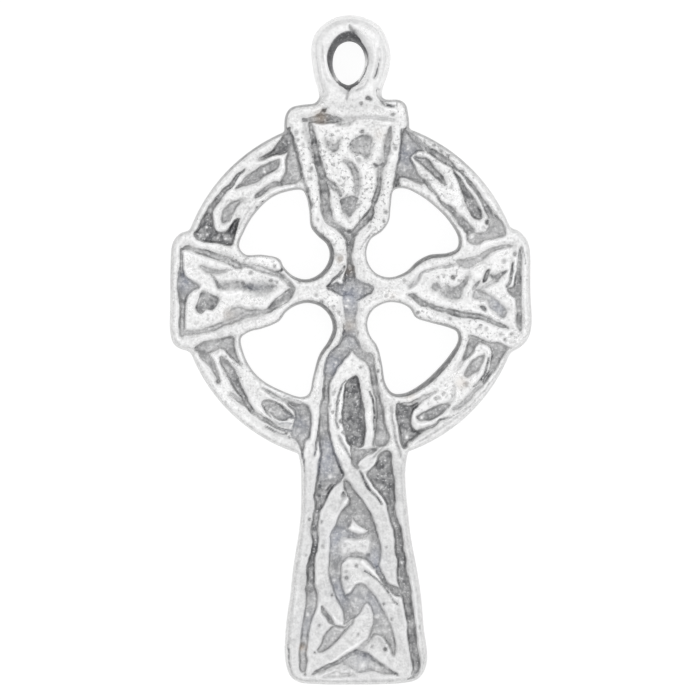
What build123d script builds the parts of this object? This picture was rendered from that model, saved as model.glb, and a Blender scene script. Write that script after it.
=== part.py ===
from build123d import *
import math
import os

# Celtic cross pendant: one silver casting that lies on its flat back.
# x runs across the arms, y up to the bail, z out of the carved face. Sizes are in millimetres.
# Every outline is drawn about the middle of the ring, and the finished casting is then moved so
# that the origin is under the middle of its box, on the back.

# Ring and the four openings inside it
ring_outer_radius = 8.6
ring_inner_radius = 5.95
neck_circle_radius = 1.2
neck_circle_across = 2.15
neck_circle_up = 1.75
opening_corner_radius = 0.3

# Arms, with how far each one stands out of the ring
arm_overhang = 0.5
arm_half_width = 3.0
head_overhang = 0.9
head_half_width = 3.3
stem_overhang = 11.2
foot_half_width = 3.62
end_corner_radius = 0.6
shoulder_corner_radius = 0.5
arm_reach = ring_outer_radius + arm_overhang
head_reach = ring_outer_radius + head_overhang
foot_reach = ring_outer_radius + stem_overhang

# Heights above the flat back
rim_height = 2.2
floor_height = 1.25
strand_height = 2.02
under_height = 1.84
wall_height = 1.0
wall_draft_angle = 10.0

# Rims and strands
arm_rim_width = 0.78
end_bar_width = 0.8
head_bar_width = 1.15
foot_bar_width = 0.62
stem_rim_width = 0.8
floor_corner_radius = 0.2
side_floor_start = 3.28
head_floor_start = 2.85
stem_floor_start = 2.77
ring_outer_rim_width = 0.72
ring_inner_rim_width = 0.5
strand_width = 0.58
ring_strand_width = 0.5
stem_strand_width = 0.62
strand_draft_angle = 12.0
channel_width = 0.45
pit_width = 2.0
pit_length = 1.1

# Bail loop at the top
bail_rise = 4.3
bail_half_width = 1.95
bail_half_length = 2.3
bail_lean = 0.12
bail_back = 0.1
bail_thickness = 1.95
bail_edge_radius = 0.55
bail_neck_width = 3.1
bail_neck_rise = 0.5
eye_half_width = 0.83
eye_half_length = 1.12
eye_below_top = 2.45
eye_lip_radius = 0.3
bail_top = head_reach + bail_rise

# How far a strand's foot is sunk into the floor that carries it
strand_root = 0.3

# Arc at a strand's turning point: its share of the shorter run beside it, and its largest radius
bend_share = 0.45
largest_bend = 6.0

# Sections nearer to an arm's end than this many corner radii are passed over
corner_clearance = 1.2

# Outline of each arm, from the middle of the ring outwards; the first stretch ends under the ring
# columns: share of the arm's reach, share of its end half width
SIDE_ARM = ((0.0, 0.12), (0.8, 0.82), (1.0, 1.0))
HEAD_ARM = ((0.0, 0.43), (0.77, 0.79), (0.87, 0.96), (0.93, 1.0), (1.0, 0.95))
STEM_ARM = (
    (0.0, 0.24), (0.365, 0.67), (0.43, 0.725), (0.555, 0.745),
    (0.66, 0.81), (0.76, 0.895), (0.93, 1.0), (1.0, 0.985),
)

# Knots on the arms
# columns: share of the arm's reach, share of the arm's half width there (plus is clockwise)
SIDE_KNOT_OVER = (
    ((0.9, 0.66), (0.72, 0.62), (0.5, 0.42), (0.4, -0.05)),
    ((0.9, -0.66), (0.8, -0.02), (0.66, 0.3), (0.5, -0.02)),
)
SIDE_KNOT_UNDER = (
    ((0.9, -0.66), (0.72, -0.62), (0.5, -0.42), (0.4, 0.05)),
    ((0.9, 0.66), (0.8, 0.02), (0.66, -0.3)),
)
HEAD_KNOT_OVER = (
    ((0.875, -0.55), (0.74, -0.44), (0.6, -0.22), (0.5, 0.18), (0.43, 0.26), (0.335, 0.02)),
    ((0.875, 0.62), (0.84, 0.1), (0.76, -0.12), (0.66, -0.05)),
)
HEAD_KNOT_UNDER = (
    ((0.875, 0.62), (0.7, 0.5), (0.56, 0.42), (0.45, 0.4), (0.335, 0.0)),
    ((0.57, -0.5), (0.47, -0.42), (0.4, -0.22), (0.335, 0.0)),
)
STEM_KNOT_OVER = (
    (
        (0.168, 0.01), (0.2, 0.35), (0.29, 0.43), (0.365, 0.37), (0.43, 0.12), (0.49, -0.18),
        (0.555, -0.48), (0.63, -0.61), (0.74, -0.58), (0.8, -0.4),
    ),
    (
        (0.755, 0.09), (0.72, 0.17), (0.688, -0.03), (0.715, -0.3),
        (0.78, -0.6), (0.86, -0.7), (0.955, -0.72),
    ),
    ((0.955, 0.69), (0.9, 0.32), (0.865, 0.09), (0.8, -0.15)),
)
STEM_KNOT_UNDER = (
    ((0.168, 0.01), (0.215, -0.3), (0.29, -0.4), (0.39, -0.34)),
    ((0.485, 0.2), (0.54, 0.5), (0.63, 0.6), (0.735, 0.53), (0.8, 0.34), (0.855, 0.1)),
    ((0.805, 0.55), (0.87, 0.62), (0.955, 0.7)),
    ((0.87, -0.18), (0.92, -0.5), (0.955, -0.72)),
    ((0.445, -0.16), (0.395, -0.5), (0.385, -0.85)),
)

# Knot on each quarter of the ring
# columns: share of the quarter turn, share of the floor's width from its middle (plus is outwards)
RING_KNOT_OVER = ((0.28, 0.0), (0.37, 0.6), (0.5, 0.0), (0.63, -0.6), (0.72, 0.0))
RING_KNOT_UNDER = ((0.28, 0.0), (0.37, -0.6), (0.5, 0.0), (0.63, 0.6), (0.72, 0.0))


def half_width_at(sections, share):
    """Half width of an arm, as a share of its end, at a share of its reach."""
    for (near, near_width), (far, far_width) in zip(sections, sections[1:]):
        if share <= far:
            return near_width + (far_width - near_width) * (share - near) / (far - near)
    return sections[-1][1]


def arm_face(sections, reach, half_width, corner_radius, inset=0.0, start=0.0, stop=None):
    """Flat outline of an arm along +y, drawn in from its edge by an inset, between two places."""
    last = reach if stop is None else stop
    kept = [s * reach for s, _ in sections if start < s * reach < last - corner_clearance * corner_radius]
    places = [start] + kept + [last]
    widths = [half_width_at(sections, y / reach) * half_width - inset for y in places]
    right = list(zip(widths, places))
    left = [(-x, y) for x, y in reversed(right)]
    face = make_face(Polyline(*right, *left, close=True))
    return fillet(face.vertices().group_by(Axis.Y)[-1], corner_radius)


def arm_points(table, sections, reach, half_width):
    """Places of a knot's turning points on an arm along +y."""
    places = []
    for along, across in table:
        places.append((across * half_width_at(sections, along) * half_width, along * reach))
    return places


def bend_radii(points):
    """Radius of the arc at each turning point: as large as the runs beside it leave room for."""
    radii = []
    for before, here, after in zip(points, points[1:], points[2:]):
        arriving = Vector(*here) - Vector(*before)
        leaving = Vector(*after) - Vector(*here)
        turn = math.radians(arriving.get_angle(leaving))
        roomy = bend_share * min(arriving.length, leaving.length) / math.tan(turn / 2)
        radii.append(min(roomy, largest_bend))
    return radii


def strand(points, width, top):
    """Raised band with drafted sides: a line of straight runs and tangent arcs, widened both ways."""
    line = FilletPolyline(*points, radius=bend_radii(points))
    band = make_face(offset(line, amount=width / 2, side=Side.BOTH))
    root = floor_height - strand_root
    return Pos(0, 0, root) * extrude(band, amount=top - root, taper=strand_draft_angle)


def arm_knot(over, under, sections, reach, half_width, width, turn):
    """Raised strands of one arm's knot, turned from +y to the arm's own heading."""
    made = [strand(arm_points(t, sections, reach, half_width), width, strand_height) for t in over]
    made += [strand(arm_points(t, sections, reach, half_width), width, under_height) for t in under]
    return [Rot(0, 0, turn) * s for s in made]


def ring_knot(quarter):
    """Raised figure of eight on one quarter of the ring."""
    inner = ring_inner_radius + ring_inner_rim_width
    outer = ring_outer_radius - ring_outer_rim_width
    middle = (inner + outer) / 2
    made = []
    for table, top in ((RING_KNOT_OVER, strand_height), (RING_KNOT_UNDER, under_height)):
        points = []
        for turn, out in table:
            angle = math.radians(90 * (quarter + turn))
            radius = middle + out * (outer - inner) / 2
            points.append((radius * math.cos(angle), radius * math.sin(angle)))
        made.append(strand(points, ring_strand_width, top))
    return made


def opening(side, up):
    """Flat outline of one opening between two arms and the ring, with its round lobe at the neck."""
    reach = ring_inner_radius
    quarter = Pos(side * reach / 2, up * reach / 2) * Rectangle(reach, reach)
    gap = quarter & Circle(ring_inner_radius)
    gap = gap - arms_outline - Rectangle(2 * neck_circle_across, 2 * neck_circle_up)
    lobe = Pos(side * neck_circle_across, up * neck_circle_up) * Circle(neck_circle_radius)
    gap = max((gap + lobe).faces(), key=lambda f: f.area)
    return fillet(gap.vertices(), opening_corner_radius)


def bail():
    """Rounded loop in the plane of the cross, with an oval eye through it from front to back."""
    loop = Pos(bail_lean, bail_top - bail_half_length) * Ellipse(bail_half_width, bail_half_length)
    loop = extrude(loop, amount=bail_thickness)
    loop = fillet(loop.edges().group_by(Axis.Z)[-1], bail_edge_radius)
    loop = fillet(loop.edges().group_by(Axis.Z)[0], bail_edge_radius)
    eye = Pos(bail_lean, bail_top - eye_below_top) * Ellipse(eye_half_width, eye_half_length)
    loop = loop - extrude(eye, amount=bail_thickness)
    for end in (-1, 0):
        lip = loop.edges().group_by(Axis.Z)[end].sort_by(SortBy.LENGTH)[0]
        loop = fillet(lip, eye_lip_radius)
    neck_length = bail_neck_rise + head_bar_width
    neck = Rectangle(bail_neck_width, neck_length)
    neck = Pos(bail_lean, head_reach + bail_neck_rise - neck_length / 2) * neck
    neck = extrude(neck, amount=bail_thickness - 2 * bail_edge_radius)
    return Pos(0, 0, bail_back) * loop + Pos(0, 0, bail_back + bail_edge_radius) * neck


# Flat outline of the whole cross with its ring
side_arm = arm_face(SIDE_ARM, arm_reach, arm_half_width, end_corner_radius)
head_arm = arm_face(HEAD_ARM, head_reach, head_half_width, shoulder_corner_radius)
stem_arm = Rot(0, 0, 180) * arm_face(STEM_ARM, foot_reach, foot_half_width, end_corner_radius)
arms_outline = head_arm + stem_arm + Rot(0, 0, 90) * side_arm + Rot(0, 0, -90) * side_arm
outline = arms_outline + Circle(ring_outer_radius)
for side in (-1, 1):
    for up in (-1, 1):
        outline = outline - opening(side, up)

# Plate: straight walls at the back, drafted walls up to the rims
plate = extrude(outline, amount=wall_height)
drafted = extrude(outline, amount=rim_height - wall_height, taper=wall_draft_angle)
body = plate + Pos(0, 0, wall_height) * drafted

# Sunk floors between the rims
ring_floor = Circle(ring_outer_radius - ring_outer_rim_width)
ring_floor = ring_floor - Circle(ring_inner_radius + ring_inner_rim_width) - arms_outline
side_floor = arm_face(
    SIDE_ARM, arm_reach, arm_half_width, floor_corner_radius,
    inset=arm_rim_width, start=side_floor_start, stop=arm_reach - end_bar_width,
)
head_floor = arm_face(
    HEAD_ARM, head_reach, head_half_width, floor_corner_radius,
    inset=arm_rim_width, start=head_floor_start, stop=head_reach - head_bar_width,
)
stem_floor = arm_face(
    STEM_ARM, foot_reach, foot_half_width, floor_corner_radius,
    inset=stem_rim_width, start=stem_floor_start, stop=foot_reach - foot_bar_width,
)
channel_length = head_floor_start + stem_floor_start + channel_width
channel = Pos(0, (head_floor_start - stem_floor_start) / 2) * Rectangle(channel_width, channel_length)
half_pit = ((-pit_width / 2, 0), (0, pit_length / 2), (pit_width / 2, 0))
pit = make_face(Polyline(*half_pit, (0, -pit_length / 2), close=True))
floors = [ring_floor, head_floor, Rot(0, 0, 180) * stem_floor, channel + pit]
floors += [Rot(0, 0, turn) * side_floor for turn in (90, -90)]
for floor in floors:
    body = body - Pos(0, 0, floor_height) * extrude(floor, amount=rim_height)

# Raised knotwork
head_sizes = (HEAD_ARM, head_reach, head_half_width, strand_width)
stem_sizes = (STEM_ARM, foot_reach, foot_half_width, stem_strand_width)
side_sizes = (SIDE_ARM, arm_reach, arm_half_width, strand_width)
strands = arm_knot(HEAD_KNOT_OVER, HEAD_KNOT_UNDER, *head_sizes, turn=0)
strands += arm_knot(STEM_KNOT_OVER, STEM_KNOT_UNDER, *stem_sizes, turn=180)
for turn in (90, -90):
    strands += arm_knot(SIDE_KNOT_OVER, SIDE_KNOT_UNDER, *side_sizes, turn=turn)
for quarter in range(4):
    strands += ring_knot(quarter)
for one in strands:
    body = body + one

# Bail
body = body + bail()

# Origin under the middle of the casting's box
casting = Pos(0, (foot_reach - bail_top) / 2, 0) * body.solid()

os.makedirs("parts", exist_ok=True)
export_step(casting, "parts/cross_casting.step")
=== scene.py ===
"""Looks of the cast silver cross: one closed skin with its rims, knotwork and bail loop, its tumbled
silver finish, and a pale table under soft light. Lengths are in mm until the mesh is made."""

import bpy
import numpy as np
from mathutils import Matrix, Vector
from mathutils.geometry import delaunay_2d_cdt


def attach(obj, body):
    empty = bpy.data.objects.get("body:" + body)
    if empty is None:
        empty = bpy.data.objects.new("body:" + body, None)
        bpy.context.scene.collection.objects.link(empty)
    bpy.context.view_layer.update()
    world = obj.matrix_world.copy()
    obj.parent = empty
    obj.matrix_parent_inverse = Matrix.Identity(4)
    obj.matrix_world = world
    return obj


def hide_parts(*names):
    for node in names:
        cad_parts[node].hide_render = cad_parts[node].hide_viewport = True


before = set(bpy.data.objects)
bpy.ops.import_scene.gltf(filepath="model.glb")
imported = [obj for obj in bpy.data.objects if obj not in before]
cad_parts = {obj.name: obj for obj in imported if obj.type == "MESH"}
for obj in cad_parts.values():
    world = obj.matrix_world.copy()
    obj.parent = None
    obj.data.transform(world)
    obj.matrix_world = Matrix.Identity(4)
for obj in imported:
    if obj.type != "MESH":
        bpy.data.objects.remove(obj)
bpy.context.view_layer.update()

MM = 0.001

# Photograph to part: a pixel is PIXEL mm, the ring's middle is at RING_MIDDLE and lies RING_UP above the
# part's origin, and the casting leans LEAN to the left in the picture. Everything below is in mm.
PIXEL = 0.05
RING_MIDDLE = (350.5, 290.0)
RING_UP = 3.0
LEAN = np.radians(0.9)

# Levels above the flat back
RIM_TOP = 2.16
KNOT_TOP = 2.04
BAIL_TOP = 2.05
RING_RADIUS = 8.6

# Grid that the carved face is worked out on
STEP = 0.0575
HALF_WIDE = 9.4
HALF_LONG = 17.1

# How many grid rows, or loose places, are measured against a line at once, and a divisor's least size
ROWS_AT_ONCE = 24
PLACES_AT_ONCE = 512
TINY = 1e-12


def place(table):
    """Table of photo columns and rows to mm: shifted to the ring's middle, turned upright, scaled."""
    table = np.asarray(table, float)
    right = table[:, 0] - RING_MIDDLE[0]
    down = table[:, 1] - RING_MIDDLE[1]
    x = (right * np.cos(LEAN) - down * np.sin(LEAN)) * PIXEL
    y = -(right * np.sin(LEAN) + down * np.cos(LEAN)) * PIXEL + RING_UP
    return np.column_stack([x, y, table[:, 2:] * PIXEL])


def smooth_line(rows, closed=False, pace=0.08):
    """Smooth line through the rows: each run is a Hermite cubic whose end slopes are the
    centripetal Catmull-Rom ones, sampled about every `pace` mm."""
    if closed:
        rows = np.vstack([rows[-1:], rows, rows[:2]])
    else:
        rows = np.vstack([2 * rows[:1] - rows[1:2], rows, 2 * rows[-1:] - rows[-2:-1]])
    p0, p1, p2, p3 = rows[:-3], rows[1:-2], rows[2:-1], rows[3:]
    knot = np.sqrt(np.linalg.norm(np.diff(rows[:, :2], axis=0), axis=1))[:, None] + 1e-6
    k0, k1, k2 = knot[:-2], knot[1:-1], knot[2:]
    m1 = k1 * ((p1 - p0) / k0 - (p2 - p0) / (k0 + k1) + (p2 - p1) / k1)
    m2 = k1 * ((p2 - p1) / k1 - (p3 - p1) / (k1 + k2) + (p3 - p2) / k2)
    lengths = np.linalg.norm(p2[:, :2] - p1[:, :2], axis=1)
    steps = max(2, int(np.ceil(lengths.max() / pace)))
    t = (np.arange(steps) / steps)[None, :, None]
    p1, p2, m1, m2 = (v[:, None, :] for v in (p1, p2, m1, m2))
    line = p1 * (2 * t**3 - 3 * t**2 + 1) + m1 * (t**3 - 2 * t**2 + t)
    line = line + p2 * (3 * t**2 - 2 * t**3) + m2 * (t**3 - t**2)
    line = line.reshape(-1, rows.shape[1])
    return np.vstack([line, line[:1] if closed else rows[-2:-1]])


def window(line, margin):
    """Slices of the grid that cover a line with a margin round it."""
    low = line[:, :2].min(0) - margin
    high = line[:, :2].max(0) + margin
    i0, i1 = np.searchsorted(ys, (low[1], high[1]))
    j0, j1 = np.searchsorted(xs, (low[0], high[0]))
    return slice(i0, i1), slice(j0, j1)


def nearest(line, px, py):
    """Distance from each place to a line of short runs, and the line's third column there."""
    a, b = line[:-1], line[1:]
    run = b[:, :2] - a[:, :2]
    length2 = (run**2).sum(1) + TINY
    gap = np.empty(px.shape)
    width = np.zeros(px.shape)
    for i in range(0, len(px), ROWS_AT_ONCE):
        rx = px[i : i + ROWS_AT_ONCE, :, None] - a[:, 0]
        ry = py[i : i + ROWS_AT_ONCE, :, None] - a[:, 1]
        t = np.clip((rx * run[:, 0] + ry * run[:, 1]) / length2, 0, 1)
        d2 = (rx - t * run[:, 0]) ** 2 + (ry - t * run[:, 1]) ** 2
        if line.shape[1] > 2:
            w = a[:, 2] + t * (b[:, 2] - a[:, 2])
            edge = np.sqrt(d2) - w
            k = edge.argmin(-1)[..., None]
            width[i : i + ROWS_AT_ONCE] = np.take_along_axis(w, k, -1)[..., 0]
        else:
            k = d2.argmin(-1)[..., None]
        gap[i : i + ROWS_AT_ONCE] = np.sqrt(np.take_along_axis(d2, k, -1)[..., 0])
    return gap, width


def inside(line, px, py):
    """True where a place is inside a closed line: it crosses an odd number of runs going right."""
    a, b = line[:-1], line[1:]
    odd = np.zeros(px.shape, bool)
    for i in range(0, len(px), ROWS_AT_ONCE):
        x = px[i : i + ROWS_AT_ONCE, :, None]
        y = py[i : i + ROWS_AT_ONCE, :, None]
        spans = (a[:, 1] > y) != (b[:, 1] > y)
        cross = a[:, 0] + (y - a[:, 1]) / (b[:, 1] - a[:, 1] + TINY) * (b[:, 0] - a[:, 0])
        odd[i : i + ROWS_AT_ONCE] = (spans & (x < cross)).sum(-1) % 2 == 1
    return odd


def loop_depth(table, margin=0.6, places=None):
    """Signed distance to a smooth closed outline, plus inside, on its own window of the grid."""
    line = smooth_line(place(table), closed=True)
    where = window(line, margin)
    px, py = (field[where] for field in places or (X, Y))
    gap, _ = nearest(line[:, :2], px, py)
    return where, np.where(inside(line, px, py), gap, -gap)


def band_depth(table, margin=0.6, places=None):
    """Half width less the distance to a smooth line, plus inside the band, and the half width."""
    line = smooth_line(place(table))
    where = window(line, margin)
    px, py = (field[where] for field in places or (X, Y))
    gap, width = nearest(line, px, py)
    return where, width - gap, width


def soft_step(t):
    """0 below 0, 1 above 1, and 3t² - 2t³ between."""
    t = np.clip(t, 0, 1)
    return t * t * (3 - 2 * t)


def blur(field, radius):
    """Gaussian blur of the grid, by its Fourier transform."""
    fy = np.fft.fftfreq(field.shape[0], STEP)[:, None]
    fx = np.fft.rfftfreq(field.shape[1], STEP)[None, :]
    keep = np.exp(-2 * (np.pi * radius) ** 2 * (fx**2 + fy**2))
    return np.fft.irfft2(np.fft.rfft2(field) * keep, s=field.shape)


def lumps(draw, size):
    """Seeded unevenness with bumps of about one size, of unit spread."""
    field = blur(draw.standard_normal(X.shape), size)
    return field / field.std()


def join(a, b, ease):
    """The greater of two depths, with the corner between them filled over a width `ease`."""
    h = np.clip(ease - np.abs(a - b), 0, None) / ease
    return np.maximum(a, b) + h * h * ease / 4


xs = np.arange(-HALF_WIDE, HALF_WIDE + STEP, STEP)
ys = np.arange(-HALF_LONG, HALF_LONG + STEP, STEP)
X, Y = np.meshgrid(xs, ys)

# Outlines of the solid metal besides the ring's disc; columns: photo column, photo row
HEAD = (
    (291, 107), (286, 113), (284, 126), (290, 160), (298, 210), (350, 240), (400, 210), (405, 160),
    (409.5, 124), (408.5, 114), (406, 104), (400, 99.5), (388, 99), (350, 99), (314, 103), (300, 104.5),
)
LEFT_ARM = (
    (184, 231.5), (176.5, 236), (171.8, 244), (170.2, 260), (169.7, 300), (169.9, 334), (174, 345),
    (186, 350.5), (210, 345), (240, 330), (240, 250), (210, 238),
)
RIGHT_ARM = (
    (515, 229), (524, 235), (529.5, 245), (531, 290), (531.8, 328), (527, 341), (514, 350.5), (490, 345),
    (460, 330), (460, 250), (490, 238),
)
STEM = (
    (300, 400), (298, 440), (298.5, 455), (300.5, 466), (301, 480), (301, 500), (300.5, 515), (298.5, 534),
    (295.5, 552), (292.5, 572), (290, 596), (287, 616), (285, 636), (284.5, 655), (286.5, 668), (291, 678),
    (300, 683.3), (318, 685.0), (350, 685.5), (385, 685.0), (405, 683.6), (417, 680.5), (424, 673),
    (427.5, 661), (427, 648), (424.5, 632), (421.5, 598), (418, 574), (414, 553), (411, 536), (408.5, 514),
    (406.5, 494), (405.5, 474), (406.5, 462), (408, 452), (406, 430), (400, 400),
)
BAIL = (
    (350, 14.5), (366, 17.5), (379, 25), (386.5, 37), (390.5, 52), (390, 66), (387, 77), (383, 88),
    (382, 95), (386, 106), (350, 112), (315, 108), (319, 96), (317.5, 88), (314.5, 78), (312.5, 66),
    (311, 52), (313, 38), (319.5, 27.5), (333, 18),
)

# Openings clear through the casting; columns: photo column, photo row
OPEN_UPPER_LEFT = (
    (302, 190), (290, 190.5), (272, 197), (255, 213), (244, 231), (239, 246), (245, 254), (262, 254.5),
    (279, 258.5), (284, 267), (293, 275.5), (306, 279), (318, 274.5), (326.5, 265), (329.5, 254),
    (326.5, 244), (318, 236), (311, 227), (309, 210), (306, 196),
)
OPEN_UPPER_RIGHT = (
    (394, 190), (404, 188), (420, 195), (436, 207), (450, 222), (458.5, 238), (457, 248), (448, 252.5),
    (430, 254.5), (418, 260.5), (405, 272), (390, 277), (377, 273.5), (369, 264), (366.5, 252), (371, 239),
    (382, 231), (389, 221), (391, 205),
)
OPEN_LOWER_LEFT = (
    (241, 338), (250, 331.5), (262, 328.5), (279, 321), (286, 312), (296, 305.5), (308, 303), (321, 307),
    (330, 317), (332.5, 329), (328, 341), (319, 355), (313, 376), (308.5, 394), (301, 397), (280, 390),
    (262, 380), (250, 367), (243, 352),
)
OPEN_LOWER_RIGHT = (
    (416, 317.5), (430, 322.5), (450, 328), (457, 332), (458, 341), (449, 356), (436, 371), (422, 383.5),
    (405, 393), (393, 393), (386, 384), (382, 363), (377.5, 346), (370, 335), (367.5, 322), (373, 310),
    (387, 302.5), (401, 303.5), (410, 308.5),
)
EYE = (
    (349, 41), (356.5, 43), (362, 48.5), (364.8, 57), (364.3, 66), (361, 75), (355.5, 81.5), (348.5, 84.5),
    (341.5, 82), (336, 75.5), (333, 67), (333.2, 57), (337, 47.5), (342, 43),
)

# Outlines that are joined to the ring's disc; columns: outline, width of the fillet between them in mm
JOINS = ((HEAD, 0.15), (LEFT_ARM, 0.3), (RIGHT_ARM, 0.3), (STEM, 0.12), (BAIL, 0.2))

# Drafted wall that shows round each opening, in mm; columns: outline, least width, extra width on the
# widest side, heading of that side in degrees counter-clockwise from the right
OPENINGS = (
    (OPEN_UPPER_LEFT, 0.08, 0.19, -30),
    (OPEN_UPPER_RIGHT, 0.08, 0.15, -50),
    (OPEN_LOWER_LEFT, 0.085, 0.15, 20),
    (OPEN_LOWER_RIGHT, 0.09, 0.20, -48),
    (EYE, 0.05, 0.0, 0),
)
WALL_BLEND = 0.5
WALL_REACH = 0.9

# Drafted wall round the outside, in mm. It is narrower round the lower ring, from where the sine of the
# heading down from the ring's middle passes LOWER_RING_FROM, and as far as the stem's level
OUTER_WALL = 0.17
LOWER_RING_WALL_LESS = 0.07
LOWER_RING_FROM = 0.25
LOWER_RING_BLEND = 0.4
LOWER_RING_DOWN = 8.4
BAIL_WALL = 0.3

# The bail starts this far above the ring's middle, and blends in over this height, in mm
BAIL_START = 9.35
BAIL_BLEND = 0.7

# Front lip of the bail's eye, which is wider than the clear hole; columns: photo column, photo row
EYE_LIP = (
    (350, 30.5), (353.5, 31.8), (357.4, 35), (360.6, 39), (363, 45), (364.8, 52), (365.2, 60), (364.2, 68),
    (361, 76), (356, 83), (351.5, 88.5), (349, 92), (345.5, 89.5), (340.5, 85.5), (334, 79), (329.5, 71),
    (327, 62), (327, 53), (329.5, 46), (334, 38.5), (340, 33.2), (345, 31), (347.8, 30.4),
)

# Levels and widths of the casting's side and back
OPENINGS_REACH = 7.2
WALL_LOW = 0.35
BAIL_LOW = 0.95
BACK_ROUND = 0.12
BAIL_BACK_ROUND = 0.34
BAIL_LIFT = 0.08
BACK_STEP = 0.6
STEEPER = 1.6
EYE_WALL_REACH = 1.15
EYE_FACE_REACH = 1.4
# Painted shade on the wall of the bail's eye
EYE_WALL_SHADE = 0.8

# Rows of the side, by their turn in degrees over the wall, with their share of its painted shade, and under it
WALL_SHADES = {10: 0.9, 40: 1.0, 68: 0.7, 90: 0.35}
WALL_TURNS = tuple(WALL_SHADES)
BACK_TURNS = (48, 90)

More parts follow.
